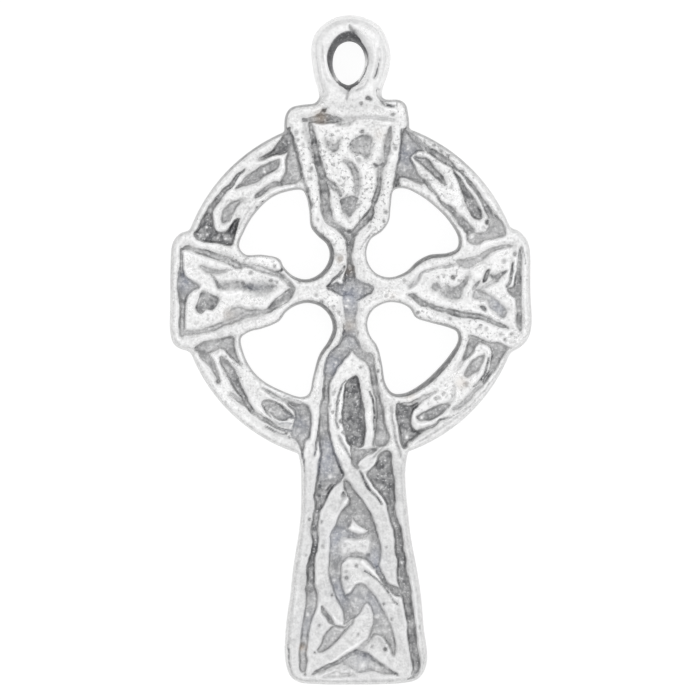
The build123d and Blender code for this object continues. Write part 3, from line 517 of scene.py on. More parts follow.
# Sunk floors with an outline of their own: name, depth in mm, darkness, and rows of photo column and row
FLOORS = (
    ("top lower hole", 0.45, 0.6, ((340.5, 200), (345, 197.5), (350, 196), (356, 195.5), (357, 200),
     (356, 207), (353, 213), (349, 217.5), (345, 213.5), (342, 208))),
    ("top right hole", 0.35, 0.5, ((350.5, 146), (354, 140), (360, 136), (366, 134.5), (370.5, 137),
     (372, 143), (371.5, 151), (369, 157.5), (366, 158), (362, 154.5), (355, 153), (350.5, 151))),
    ("top left hole", 0.45, 0.5, ((324, 138.5), (330, 140.5), (334, 144), (338, 141), (341, 138.5),
     (339.5, 145), (337, 150), (333, 152), (329, 149), (325.5, 144))),
    ("left triangle", 0.75, 0.55, ((181, 268), (186, 276), (193, 282), (199.5, 287.5), (192, 290.5),
     (188, 294), (186, 301), (183.5, 306), (181, 300), (180, 285))),
    ("left lower hole", 0.5, 0.66, ((203, 291), (208, 293.5), (213, 295.5), (219, 299), (216, 304),
     (212, 309), (206, 309.5), (201, 313.5), (197, 311), (196, 307), (198, 302), (200, 296))),
    ("left lower flat", 0.32, 0.35, ((226, 313), (231, 308.5), (238, 307), (246, 310), (256, 311),
     (266, 311), (262, 315), (248, 318), (238, 321), (229, 323), (223, 321), (225, 317))),
    ("right wedge", 0.6, 0.5, ((507.5, 288), (512, 287), (517, 280), (519, 290), (517, 298), (512, 295))),
    ("right middle hole", 0.35, 0.5, ((431.5, 287), (434, 283), (438, 284), (441, 287), (446, 285.5),
     (452, 287), (458, 286), (463, 282), (466, 276), (468.5, 274), (470, 278), (466.5, 285), (463, 291),
     (461, 297), (455, 299.5), (447, 299), (441, 296), (437, 291.5), (432.5, 290))),
    ("right lower hole", 0.4, 0.46, ((474, 291), (479, 289.5), (485, 292.5), (491, 296.5), (498, 301),
     (504, 306), (506.5, 312), (504.5, 316.5), (499, 316), (494, 312), (489, 306), (487, 301), (480, 299.5),
     (473, 297))),
    ("middle diamond", 0.6, 0.55, ((327, 287.5), (333, 283.8), (340, 281), (346, 279), (352, 278),
     (358, 281), (366, 284), (372.5, 287.5), (372, 292.5), (366, 296), (361, 299), (357, 300.5),
     (352, 296.5), (347, 295.5), (343, 296.5), (338, 294), (333, 290.8))),
    ("ul lower floor", 0.9, 0.8, ((193.5, 233), (198, 229), (201, 222), (205, 216), (209.5, 213),
     (212.5, 219), (213.5, 226), (216, 231.5), (222, 233), (228, 231), (231, 226), (235, 219.5), (238, 219),
     (237, 226), (234.5, 234), (233, 241), (231, 245), (222, 243.5), (211, 242.5), (201, 240),
     (196, 237.5))),
    ("ul upper wedge", 0.85, 0.66, ((258, 160), (264, 156), (271, 151), (276, 146), (281, 140), (285, 134),
     (290, 128), (292.5, 136), (293, 146), (289, 151), (283, 153), (276, 154), (270, 156), (265, 158.5))),
    ("ul right floor", 0.85, 0.52, ((289, 132), (292, 138), (295, 148), (298, 158), (300, 168), (302, 179),
     (296, 182), (289, 183), (283, 184), (281, 181), (284, 175), (286, 168), (286, 161), (288, 154),
     (287, 145))),
    ("ul upper hole", 0.7, 0.52, ((278.5, 160), (279, 164), (277, 168), (270, 173), (263, 177), (256, 182),
     (248, 185), (241, 187), (235, 189.5), (238, 185.5), (243, 181), (246, 177), (250, 173), (257, 170),
     (262, 166), (268, 164), (273, 161.5))),
    ("ul lower hole", 0.6, 0.42, ((245, 199.8), (240, 203), (236, 209), (232, 215), (229, 220), (225, 222),
     (222.5, 223), (221.5, 218), (223, 212), (227, 207), (232, 203), (238, 201))),
    ("ur left floor", 0.85, 0.5, ((403, 133), (407, 129), (410, 134), (415, 141), (421, 147), (424, 151),
     (418, 151.5), (413, 155), (410, 158), (412, 164), (416, 171), (420, 177), (425, 181), (421, 184),
     (413, 181), (406, 177.5), (400, 177), (398.5, 181), (398.5, 186), (393.5, 186), (396, 175), (398, 162),
     (400, 148), (402, 140))),
    ("ur upper hole", 0.7, 0.56, ((413, 156.5), (418, 158), (425, 158.5), (430, 161.5), (434, 167),
     (439, 173), (443, 178), (445, 184.5), (442, 183), (438, 179), (432, 173.5), (426, 168.5), (420, 163),
     (415, 159.5))),
    ("ur lower floor", 0.8, 0.42, ((466, 228), (470, 230.5), (477, 233), (485, 232), (489, 228),
     (490.5, 222), (493, 215), (497, 218), (501.5, 223), (505, 229), (505, 235), (498, 237), (490, 239),
     (484, 241), (479, 243.5), (472, 243), (468, 240), (467.5, 235))),
    ("ll upper floor", 0.75, 0.48, ((194, 349.5), (200, 344.8), (208, 342), (216, 339.5), (225, 337.5),
     (232, 336), (234.5, 338), (234, 344), (235.5, 350), (237, 356), (239.5, 361), (242, 366),
     (238.5, 363.5), (234, 360), (230, 356), (226, 350), (222, 347.5), (216, 349), (212, 351.5), (206, 354),
     (199, 353))),
    ("ll striped hole", 0.6, 0.48, ((262, 404), (265, 400.5), (272, 400.5), (279, 404), (285, 408.5),
     (290, 414), (293.5, 417.5), (288, 418), (286, 421), (279, 419), (273, 416), (268, 412), (264, 408.5))),
    ("ll right floor", 0.8, 0.5, ((287, 402.5), (296, 405.5), (302, 404), (307, 406), (310.5, 412),
     (311.5, 420), (310, 430), (309.5, 438), (305.5, 441), (304.5, 448), (303, 453), (301, 449), (299, 443),
     (296, 439), (291.5, 436.5), (291.5, 432), (292.5, 426), (295, 420), (294, 412), (290, 407))),
    ("lr upper floor", 0.75, 0.48, ((469, 335), (476, 337), (484, 339.5), (490, 342), (497, 342),
     (503, 345), (507, 347), (510, 348), (506, 352), (502, 357), (499, 362), (497, 367), (494, 371),
     (490, 376), (486, 382), (483, 384), (484, 378), (488.5, 371), (490.5, 362), (492, 356), (492, 350),
     (490, 346), (484, 343.5), (478, 343), (475, 347), (473.5, 352), (470, 356), (466, 360), (463, 361),
     (464, 356), (466, 350), (468, 343), (469.5, 339))),
    ("lr upper left tail", 0.4, 0.2, ((463, 360), (464, 356), (467, 357), (464, 362), (461, 366),
     (458, 369), (456, 371), (458.5, 366), (461, 362))),
    ("lr upper hole", 0.65, 0.43, ((484, 356), (480, 357), (474, 360), (470, 365), (467, 370), (465, 375),
     (467.5, 377), (472, 374), (477, 371), (481, 367), (484, 361))),
    ("lr lower hole", 0.7, 0.55, ((448, 403), (444, 403), (436, 406), (427, 411), (420, 415), (418, 417),
     (420, 420), (424, 421), (431, 420), (437, 417), (442, 413), (447, 408), (450, 404))),
    ("lr left floor", 0.85, 0.72, ((397.5, 403.5), (402, 405), (409, 406), (414, 404), (417.5, 402),
     (417, 406), (413.5, 411), (411.5, 416), (411, 422), (412, 427), (415, 430.5), (419.5, 432), (417, 435),
     (412, 440), (408, 442), (407, 446), (404, 448), (402, 444), (400.5, 436), (399, 427), (397.5, 418),
     (396.5, 410))),
    ("stem left floor", 0.8, 0.5, ((343, 337), (351, 336), (352, 348), (349, 354), (343, 361), (338, 368),
     (334, 376), (330, 385), (328.5, 400), (328, 415), (329, 430), (332, 445), (336, 457), (340, 468),
     (343.5, 476), (340, 481), (334, 486), (330, 492), (327, 498), (323, 504), (320, 509), (317, 508),
     (315, 502), (314.8, 494), (316, 485), (318, 475), (319.5, 465), (321, 455), (319, 440), (319, 425),
     (320, 410), (322, 398), (324, 386), (325, 374), (326, 362), (329, 355), (335, 349), (339, 343))),
    ("stem right floor", 0.75, 0.5, ((347, 339), (352, 336), (357, 341), (361, 347), (366, 352.5),
     (372, 355), (374.5, 362), (376, 372), (378, 384), (380, 394), (382, 406), (384, 418), (386, 428),
     (389, 437), (388, 443), (383, 446), (377, 447), (373.5, 445), (374.5, 438), (375.3, 430), (375.5, 420),
     (375.5, 408), (375, 398), (373, 388), (371, 378), (370, 368), (366, 362), (360, 358), (354, 353),
     (350, 347))),
    ("loop hole", 0.9, 0.75, ((345, 385), (347, 381), (352, 378.5), (356, 376.5), (358.5, 380), (360, 388),
     (361.5, 398), (363, 408), (364, 418), (365, 428), (364.5, 438), (363, 446), (357, 449), (351, 446),
     (347, 440), (345, 432), (343.5, 424), (342.8, 414), (343, 404), (344, 394))),
    ("leaf shade", 0.75, 0.6, ((350.5, 445), (354, 446), (360, 449.5), (366, 450), (372, 448), (377, 447),
     (376.5, 450.8), (371, 453.6), (366.5, 455.4), (362, 458), (358.8, 462), (357.4, 465.5), (357.6, 469),
     (354, 467), (352, 461), (351, 454))),
    ("stem right triangle", 0.85, 0.7, ((378.8, 455.4), (382, 452.5), (389.5, 452), (391, 464),
     (393.5, 478), (394.5, 490), (395, 502), (392, 504), (388, 504), (384.5, 500), (381, 495), (377, 489.5),
     (373.5, 485), (370.5, 480), (367, 475.5), (368.5, 471.2), (372, 468), (375.6, 464), (377.4, 459.5))),
    ("stem middle floor", 0.75, 0.5, ((344, 480), (349, 482), (352, 488), (357, 494), (360, 498),
     (365, 505), (370, 512), (372.5, 520), (375.5, 528), (378.5, 538), (380.5, 548), (380.5, 556),
     (378, 565), (375, 568), (371, 563), (364, 559), (356, 558), (348, 559), (343, 563), (341, 570),
     (340.5, 580), (343, 588), (346, 596), (350, 600), (353, 607), (355, 613), (352, 619), (347, 624),
     (344.5, 625), (345, 619), (343.5, 611), (340, 604), (336, 597), (333, 589), (330, 580), (329, 568),
     (329.5, 555), (330, 543), (331, 534), (335, 527), (338, 518), (341, 511), (346, 506), (350, 500),
     (346, 494), (344, 487))),
    ("hook floor", 0.6, 0.42, ((352, 592), (356, 586), (359, 583.5), (363, 583.5), (367, 587), (371, 592),
     (375, 597), (379, 604), (384, 611), (388, 619), (392, 629), (395, 641), (396, 651), (394, 656),
     (391, 651), (388.5, 645), (385, 639), (380, 635), (376, 633.5), (372, 637), (368.5, 641.5), (369, 635),
     (372.5, 627), (374, 620), (373, 613), (370, 607), (367, 603), (363, 607), (360, 612), (356, 616),
     (351, 619), (346, 617), (343, 610), (342, 602), (345, 596), (349, 594))),
    ("left lower triangle", 0.6, 0.42, ((353, 618), (349, 622.5), (345, 626.5), (340, 626.5), (335, 625),
     (330, 627.5), (326, 632), (323, 639), (320.5, 645.5), (318, 651), (321, 652), (327, 648.5),
     (332.5, 644.5), (338, 639.5), (343, 634), (348, 628.5), (353, 622.5))),
    ("foot floor", 0.5, 0.36, ((341, 664), (347, 658.5), (354, 653.5), (361, 653), (368, 657), (376, 662.5),
     (384, 668), (393, 674), (384, 673), (374, 671), (364, 671.5), (357, 672), (351, 668), (346, 665))),
    ("foot rough", 0.35, 0.08, ((318, 674), (326, 669.5), (335, 666), (344, 662.5), (350, 663), (353, 669),
     (356, 674), (344, 676), (330, 677), (320, 677))),
)

# Pieces that stand in the floors or on the strands: name, height in mm, lightness, width of
# their soft edge in mm, and rows of photo column and row
ISLANDS = (
    ("piece", 0.20, 1.0, 0.05, ((351.5, 517.5), (356, 521.5), (361, 525), (369.5, 530.5), (367.5, 533),
     (358, 533.8), (349.5, 531.5), (346, 529), (349.5, 525))),
    ("bump", 0.12, 0.85, 0.18, ((340, 538.5), (346, 536), (354, 537), (362, 537), (368, 535.5),
     (371.5, 539), (372.5, 548), (369, 554), (364, 557), (356, 554.5), (350, 556), (343, 557), (339, 551))),
    ("bead", 0.10, 1.0, 0.05, ((243, 261), (246, 257.5), (252, 256), (260, 257.5), (268, 259), (276, 260.5),
     (281, 263.5), (282, 267.5), (278, 270), (270, 269.5), (262, 267), (254, 265.5), (247, 265))),
    ("left tip", 0.08, 1.0, 0.05, ((341, 501.5), (345.5, 497.5), (349.5, 497), (347, 502), (343, 506),
     (340, 508))),
    ("foot bright", 0.10, 1.0, 0.08, ((316, 675), (324, 671.5), (333, 668.5), (341, 665), (347, 668),
     (352, 671.5), (345, 674), (335, 673), (328, 676.5), (320, 677.5))),
)

# Polished edges and painted highlights: name, brightness, and rows of photo column, photo row, half width in
# pixels
POLISH_AND_HIGHLIGHTS = (
    ("hook top", 1.0, ((340, 574, 1.2), (340.5, 568, 1.8), (343.5, 563, 2.0), (349, 560.5, 1.6))),
    ("hook right", 1.0, ((362, 562, 1.6), (368, 567, 1.9), (374, 573, 1.7), (379, 578.5, 1.3),
     (385, 584, 1.0))),
    ("hook tip", 1.0, ((345.5, 591, 1.4), (348.5, 591, 1.8), (352, 588, 1.6), (354.5, 586, 1.0))),
    ("hook inner lip", 1.0, ((355, 583, 0.8), (358.5, 581.5, 1.1), (362, 581.5, 1.1), (365.5, 583.5, 0.8))),
    ("rising edge", 1.0, ((326, 664.5, 1.0), (335, 659, 1.2), (343, 654, 1.3), (349, 650, 1.6),
     (356, 645.5, 1.6), (361, 642, 1.4), (366, 637.5, 1.0))),
    ("strand end", 1.0, ((333.5, 616, 1.0), (336, 620, 1.6), (340, 624, 1.8), (344, 624, 1.2),
     (346.5, 621, 0.9))),
    ("long sliver", 1.0, ((365, 475, 1.2), (370, 482, 1.5), (376, 489.5, 1.5), (382, 497.5, 1.3),
     (386, 503.5, 0.9))),
    ("left strand tip", 1.0, ((340, 508, 1.0), (343, 504.5, 1.4), (346, 501, 1.4), (349, 497.5, 1.0))),
    ("leaf rim", 1.0, ((359, 466, 0.9), (361, 461, 1.2), (365, 457.5, 1.2), (371, 454.5, 1.2),
     (377, 451.5, 1.0))),
    ("leaf lower rim", 0.9, ((362, 470.8, 0.8), (366, 470, 1.0), (370.5, 467, 1.1), (374, 463, 1.1),
     (376, 459, 0.8))),
    ("piece face", 0.8, ((351, 526, 1.5), (356, 529, 2.0), (362, 530.5, 1.6))),
    ("bail upper right", 0.9, ((368, 22, 2.0), (374, 27, 3.5), (378, 34, 3.5), (379, 42, 2.5))),
    ("bail upper left", 0.6, ((328, 23, 1.6), (336, 19, 2.2), (344, 17.5, 1.6))),
    ("eye lip", 1.0, ((324.5, 56, 1.0), (326, 66, 1.3), (329, 75, 1.4), (334, 82.5, 1.4), (340, 89, 1.1))),
    ("eye lip right", 0.8, ((370, 60, 1.0), (368, 70, 1.3), (364, 78, 1.4), (358, 86, 1.3),
     (353, 91, 1.0))),
    ("left arm corner", 0.9, ((184.5, 254, 1.4), (190, 253.5, 1.4), (197, 255.5, 1.2))),
    ("bead top", 1.0, ((248, 257.5, 1.4), (257, 258, 1.7), (267, 260, 1.5), (276, 262.5, 1.3))),
    ("left arm ridge", 1.0, ((222, 292, 1.6), (228, 295, 2.2), (235, 294, 2.0), (241, 291, 1.5))),
    ("left arm hole lip", 0.9, ((201, 315, 1.3), (206, 312.5, 1.6), (212, 311.5, 1.3))),
    ("lr inner strip", 1.0, ((401, 402, 1.2), (409, 400, 1.5), (417, 397, 1.5), (426, 392.5, 1.2),
     (432, 389, 0.9))),
    ("lr strand end", 1.0, ((478, 346, 1.4), (484, 345.5, 2.0), (489, 349, 1.6), (489, 357, 1.2))),
    ("lr lower strip", 0.9, ((418, 424, 1.2), (426, 423.5, 1.3), (434, 420.5, 1.3), (441, 416.5, 1.0))),
    ("ll strip one", 1.0, ((270, 394.5, 0.9), (278, 399, 1.2), (286, 404.5, 1.2), (292, 410, 1.0))),
    ("ll strip two", 1.0, ((268, 417, 0.9), (276, 421, 1.1), (284, 422.5, 1.1), (291, 422.5, 1.0))),
    ("ll inner strip", 0.9, ((270, 388, 0.9), (280, 392.5, 1.1), (290, 396, 1.2), (300, 399.5, 1.1),
     (306, 400.5, 0.9))),
    ("ul strand one", 0.9, ((231, 219, 1.0), (234, 213.5, 1.2), (240, 206.5, 1.3), (247, 203, 1.1))),
    ("ul pin top", 0.9, ((258, 163, 1.0), (266, 160.5, 1.2), (274, 158.5, 1.3), (281, 157.5, 1.4),
     (283, 162, 1.2))),
    ("ul rim", 0.8, ((258, 152, 1.0), (266, 147, 1.2), (274, 140.5, 1.2), (282, 132.5, 1.0))),
    ("ul inner rim", 0.9, ((284, 187.5, 1.0), (291, 186, 1.2), (298, 184.5, 1.2), (303, 184, 1.0))),
    ("ur pin", 0.9, ((411.5, 157, 1.0), (414, 154.5, 1.3), (420, 154, 1.3), (427, 157, 1.1))),
    ("ur rim", 0.8, ((414, 131, 1.0), (422, 137, 1.2), (431, 144, 1.2), (440, 152.5, 1.0))),
    ("ur inner rim", 0.9, ((399, 189, 1.0), (406, 188.5, 1.3), (414, 190.5, 1.3), (421, 193.5, 1.0))),
    ("right arm rim", 0.8, ((470, 247.5, 1.0), (480, 244, 1.3), (492, 241.5, 1.3), (503, 241, 1.2),
     (510, 242.5, 1.0))),
    ("right arm step", 0.8, ((414, 283, 1.0), (417, 277, 1.2), (422, 270, 1.2), (430, 266, 1.0))),
    ("head left", 0.7, ((308, 113, 1.5), (314, 110.5, 2.0), (322, 108.5, 1.6))),
    ("head right", 0.9, ((386, 110, 1.4), (394, 110, 1.6), (399, 114, 1.6), (400, 121, 1.3))),
    ("centre left", 0.9, ((330, 290.5, 1.0), (336, 294.5, 1.3), (341, 299, 1.4), (342, 307, 1.2),
     (342.5, 315, 1.0))),
)

# Raised lumps: columns are photo column, photo row, radius in pixels, height in mm
LUMPS = (
    (341, 282, 3.2, 0.45), (350, 590, 3.0, 0.10), (353, 432, 3.5, 0.12), (352, 400, 4.0, 0.12),
    (262, 262, 9.0, 0.05), (274, 261, 6.0, 0.05), (298, 430, 4.0, 0.12), (303, 414, 3.0, 0.12),
    (382, 637, 3.0, 0.14), (387, 645, 3.0, 0.14), (329, 483.5, 3.0, 0.12), (326, 488, 2.4, 0.12),
)

# Bright facets with painted glints: columns are photo column, photo row, radius in pixels, brightness
GLINTS = (
    (206, 227, 1.4, 0.9), (207, 235, 1.8, 0.7), (226, 239, 1.6, 0.7), (218, 238, 1.3, 0.6),
    (200, 236, 1.4, 0.5), (330, 476.5, 1.8, 0.8), (382, 487, 1.6, 0.5), (385, 494, 1.4, 0.4),
    (362, 665, 2.4, 0.9), (308, 615, 1.3, 1.0), (298, 178, 1.3, 0.8), (291, 171, 1.3, 0.5),
    (285, 183, 1.2, 1.0), (408, 149, 1.4, 0.7), (404, 170, 1.3, 0.6), (472, 236, 1.5, 0.8),
    (407, 437, 2.0, 1.0), (336, 363, 1.4, 0.5), (348, 301, 1.4, 0.6), (346, 307, 1.4, 0.6),
    (264, 172, 1.3, 0.9), (401, 563, 1.4, 1.0), (399, 577, 1.2, 0.7), (353, 352, 1.6, 0.9),
    (422, 418, 1.5, 0.8), (270, 410, 1.3, 0.4), (280, 413, 1.3, 0.4), (379, 636, 1.4, 0.9),
    (383, 640, 1.6, 1.0), (387, 645, 1.5, 1.0), (390, 650, 1.3, 0.8), (338, 620, 1.5, 0.8),
    (342, 623, 1.4, 0.9), (347, 590, 2.0, 0.8), (351, 587, 1.5, 0.7), (326, 673, 1.8, 0.9),
    (334, 670, 1.8, 0.9), (341, 667, 2.0, 1.0), (347, 669, 1.6, 0.8), (321, 676, 1.5, 0.8),
    (337, 674, 1.6, 0.9), (345, 504, 1.6, 0.8), (342, 502, 1.3, 0.6), (377, 617, 1.6, 0.5),
    (356, 600, 1.4, 0.4),
)

# Pits: columns are photo column, photo row, radius in pixels, depth in mm
PITS = (
    (368, 98.5, 2.0, 0.26), (370.5, 100, 1.4, 0.2), (360.8, 104, 1.3, 0.18), (330.5, 27, 1.0, 0.12),
    (324, 110, 1.5, 0.2), (362.5, 131.5, 1.6, 0.22), (319, 145.5, 1.8, 0.15), (311.5, 168.5, 1.4, 0.2),
    (359, 160, 2.4, 0.14), (303, 132, 1.4, 0.15), (296, 133, 1.6, 0.15), (298, 140, 1.4, 0.14),
    (303, 145, 1.3, 0.14), (310, 178, 1.2, 0.12), (311, 204, 2.0, 0.14), (318, 219.5, 1.2, 0.14),
    (315, 228, 1.2, 0.16), (322, 234.5, 1.2, 0.16), (331, 241, 1.0, 0.12), (334, 245, 1.2, 0.12),
    (345, 178, 1.2, 0.14), (339, 180.5, 1.2, 0.14), (343, 184.5, 1.2, 0.12), (333, 164, 1.4, 0.12),
    (326, 168, 1.2, 0.14), (330, 175, 1.0, 0.12), (360, 202, 1.4, 0.12), (358, 206, 1.2, 0.14),
    (365, 190, 1.0, 0.1), (385.5, 212, 1.5, 0.2), (384, 221.5, 1.2, 0.18), (386, 225.5, 1.2, 0.16),
    (370, 226, 1.2, 0.16), (374, 234.5, 1.1, 0.16), (391.5, 114.5, 1.4, 0.2), (395, 148, 2.0, 0.15),
    (404, 281, 1.6, 0.14), (340, 258, 3.2, 0.12), (336, 255, 1.0, 0.12), (321.5, 301, 1.6, 0.2),
    (333, 307, 1.4, 0.14), (339, 313, 1.4, 0.14), (357, 333, 1.2, 0.18), (392, 298, 1.1, 0.12),
    (300, 282, 1.2, 0.1), (316, 295, 1.4, 0.12), (307, 288, 1.2, 0.1), (386, 296, 1.2, 0.12),
    (418.5, 313, 1.3, 0.2), (450, 318, 1.4, 0.16), (505, 339.5, 1.6, 0.18), (500, 334, 1.2, 0.14),
    (511, 334, 1.3, 0.16), (480, 327, 1.5, 0.12), (486, 328.5, 1.2, 0.12), (453.5, 277, 1.6, 0.25),
    (444, 276, 1.2, 0.14), (438, 278, 1.2, 0.14), (515, 254, 1.8, 0.2), (504, 261, 1.6, 0.14),
    (251, 273, 1.3, 0.14), (243, 282.5, 1.4, 0.18), (237, 282, 1.2, 0.14), (275, 267, 1.4, 0.2),
    (276, 283, 1.3, 0.16), (270, 281.5, 1.6, 0.2), (173, 299, 1.2, 0.14), (171.5, 274.5, 1.0, 0.1),
    (262.5, 202, 1.2, 0.18), (257, 208.5, 1.6, 0.18), (228, 201, 1.0, 0.12), (416.5, 133, 1.6, 0.18),
    (420.5, 132, 1.4, 0.2), (428.5, 137, 1.4, 0.2), (430, 142, 1.8, 0.2), (434, 146, 2.0, 0.2),
    (424, 141, 1.4, 0.14), (441, 151, 2.2, 0.2), (447.5, 156, 1.4, 0.22), (438, 141, 2.6, 0.14),
    (444, 144, 2.2, 0.14), (462, 171, 1.6, 0.16), (466, 164, 1.4, 0.12), (475, 172.5, 1.4, 0.12),
    (460, 158, 1.4, 0.16), (487.8, 222, 1.9, 0.35), (484, 228, 1.4, 0.12), (451, 187, 1.2, 0.14),
    (427, 176, 1.3, 0.14), (428, 180.5, 1.2, 0.14), (443, 393, 1.2, 0.14), (435.5, 398, 1.3, 0.16),
    (438.5, 397.5, 1.3, 0.14), (466, 384, 1.6, 0.14), (217.5, 382, 1.8, 0.2), (234, 363, 1.2, 0.14),
    (286, 433, 1.3, 0.25), (289, 437, 1.3, 0.2), (226, 356.5, 1.2, 0.12), (380, 359, 1.1, 0.18),
    (378.5, 370.5, 1.4, 0.2), (382, 380.5, 1.1, 0.16), (360.5, 368, 1.1, 0.2), (333, 394, 1.8, 0.14),
    (332.5, 413, 1.4, 0.16), (330, 406, 1.2, 0.14), (337, 404, 1.0, 0.1), (341, 422, 1.8, 0.25),
    (343, 433, 1.6, 0.2), (309, 519, 1.4, 0.2), (322, 522, 1.2, 0.16), (322, 546, 1.2, 0.14),
    (299, 547, 1.4, 0.14), (305.5, 555, 1.0, 0.14), (386, 547, 1.0, 0.14), (344, 545.5, 1.2, 0.1),
    (356.5, 566, 1.1, 0.2), (346, 578, 1.8, 0.16), (346, 572, 1.3, 0.14), (332.5, 595, 1.2, 0.2),
    (383, 604, 1.2, 0.18), (391.5, 619, 1.0, 0.16), (358, 634, 1.0, 0.18), (319, 626, 1.0, 0.16),
    (315.5, 652, 1.0, 0.18), (304.5, 674, 1.2, 0.2), (372, 646.5, 1.2, 0.14), (385, 649, 1.6, 0.25),
    (368, 556, 1.6, 0.12), (348.5, 536, 0.9, 0.12), (420, 627, 1.6, 0.12), (302, 645, 2.2, 0.12),
    (349, 675, 1.2, 0.12),
)


# How sunk places lie and darken: how far an edge is read inside its true place, where the dark starts
# down the wall and how ragged and gradual that start is, and the wall's width, all in mm
TRACED_IN = 0.045
DARK_START = 0.06
DARK_RAGGED = 0.03
DARK_RISE = 0.06
SUNK_WALL = 0.15
# Width of the dark line, oxide and painted shade, at the foot of a wall
FOOT_LINE = 0.035
CARVED_REACH = 0.5

# Shares of a table's depth and darkness that floors and grooves get
FLOOR_RELIEF = 0.34
FLOOR_TONE = 1.14
GROOVE_RELIEF = 0.26
GROOVE_TONE = 0.86

# Grooves under this half width are hairlines, in mm, and how far their own edge is read inside
HAIRLINE = 0.085
HAIRLINE_BLEND = 0.035
HAIRLINE_IN = 0.006
NARROWEST = 0.25

# Rounding of the strands beside a sunk place, of the face beside its crest, and of the bail, in mm
ROLL = 0.045
ROLL_WIDTH = 0.16
CREST_ROLL = 0.06
CREST_ROLL_WIDTH = 0.22
BAIL_ROUND = 0.62
BAIL_ROUND_SHARE = 0.85
BAIL_ROUND_END = 0.93
NEAR_RIM = 0.75
HIGHEST = 2.195

# The strands of the stem are flatter, from this level down
STEM_FLATTER = 0.7
STEM_FLAT_FROM = -4.2
STEM_FLAT_BLEND = 2.5

# Below this level the tops are a little greyer, and above it they have more pinholes
STEM_FROM = -4.5
STEM_BLEND = 2
STEM_GREY = 0.14
UPPER_PITTED = 0.36

# Seeded unevenness: heights and sizes in mm
SEED = 11
WOBBLE, WOBBLE_SIZE = 0.016, 0.2
FINE_WOBBLE, FINE_WOBBLE_SIZE = 0.010, 0.08
RAGGED_SIZE, RAGGED_MOST = 0.16, 1.5
WAVE, WAVE_SIZE = 0.016, 0.55
RIPPLE, RIPPLE_SIZE = 0.010, 0.24
GRAIN, SUNK_GRAIN, GRAIN_SIZE = 0.004, 0.010, 0.10
PINHOLE, PINHOLE_SIZE, PINHOLE_FROM = 0.022, 0.055, 0.7
RIM_PATCH_SIZE = 0.5

# How much a polished place with its painted highlight, and a glint, stand up, in mm, and how much of the dark
# their painted light takes away
SHINE_RISE, SHINE_LIGHT = 0.012, 0.6
GLINT_RISE, GLINT_LIGHT = 0.06, 1.2
LUMP_LIGHT = 1.3


def bail_share():
    """0 over the cross and 1 over the bail loop, with a soft change at its shoulders."""
    return soft_step((Y - (RING_UP + BAIL_START)) / BAIL_BLEND)


def solid_depth():
    """Distance inside the whole outline (plus in the metal), and distance inside the face's crest.

    The ring's disc, the arms, the stem and the bail are joined with small fillets, and then each opening
    is taken out. The wall's width is the outer one, or near an opening that opening's own, which is
    greatest on one side: least + extra * ((1 + cos(turn from that side)) / 2)⁴. The crest is the depth
    less the wall's width, and it also ends at the front lip of the bail's eye."""
    depth = RING_RADIUS - np.hypot(X, Y - RING_UP)
    for table, ease in JOINS:
        where, part = loop_depth(table, 1.5)
        depth[where] = join(depth[where], part, ease)
    down = -np.sin(np.arctan2(Y - RING_UP, X))
    lower_ring = soft_step((down - LOWER_RING_FROM) / LOWER_RING_BLEND) * (Y > RING_UP - LOWER_RING_DOWN)
    wall = OUTER_WALL - LOWER_RING_WALL_LESS * lower_ring
    for table, least, extra, heading in OPENINGS:
        where, part = loop_depth(table, WALL_REACH)
        middle = place(table).mean(0)
        turn = np.arctan2(Y[where] - middle[1], X[where] - middle[0]) - np.radians(heading)
        width = least + extra * ((1 + np.cos(turn)) / 2) ** 4
        share = soft_step((depth[where] + part) / WALL_BLEND + 0.5)
        wall[where] = wall[where] * (1 - share) + width * share
        depth[where] = np.minimum(depth[where], -part)
    bail = bail_share()
    wall += (BAIL_WALL - OUTER_WALL) * bail
    crest = depth - wall
    where, lip = loop_depth(EYE_LIP, WALL_REACH)
    crest[where] = np.minimum(crest[where], -lip)
    return depth, crest


def smear(e, width):
    """Share that fades out from a band's middle line: exp(-1.3 * (distance / half width)²)."""
    return np.exp(-1.3 * np.clip(1 - e / width, 0, 4) ** 2)


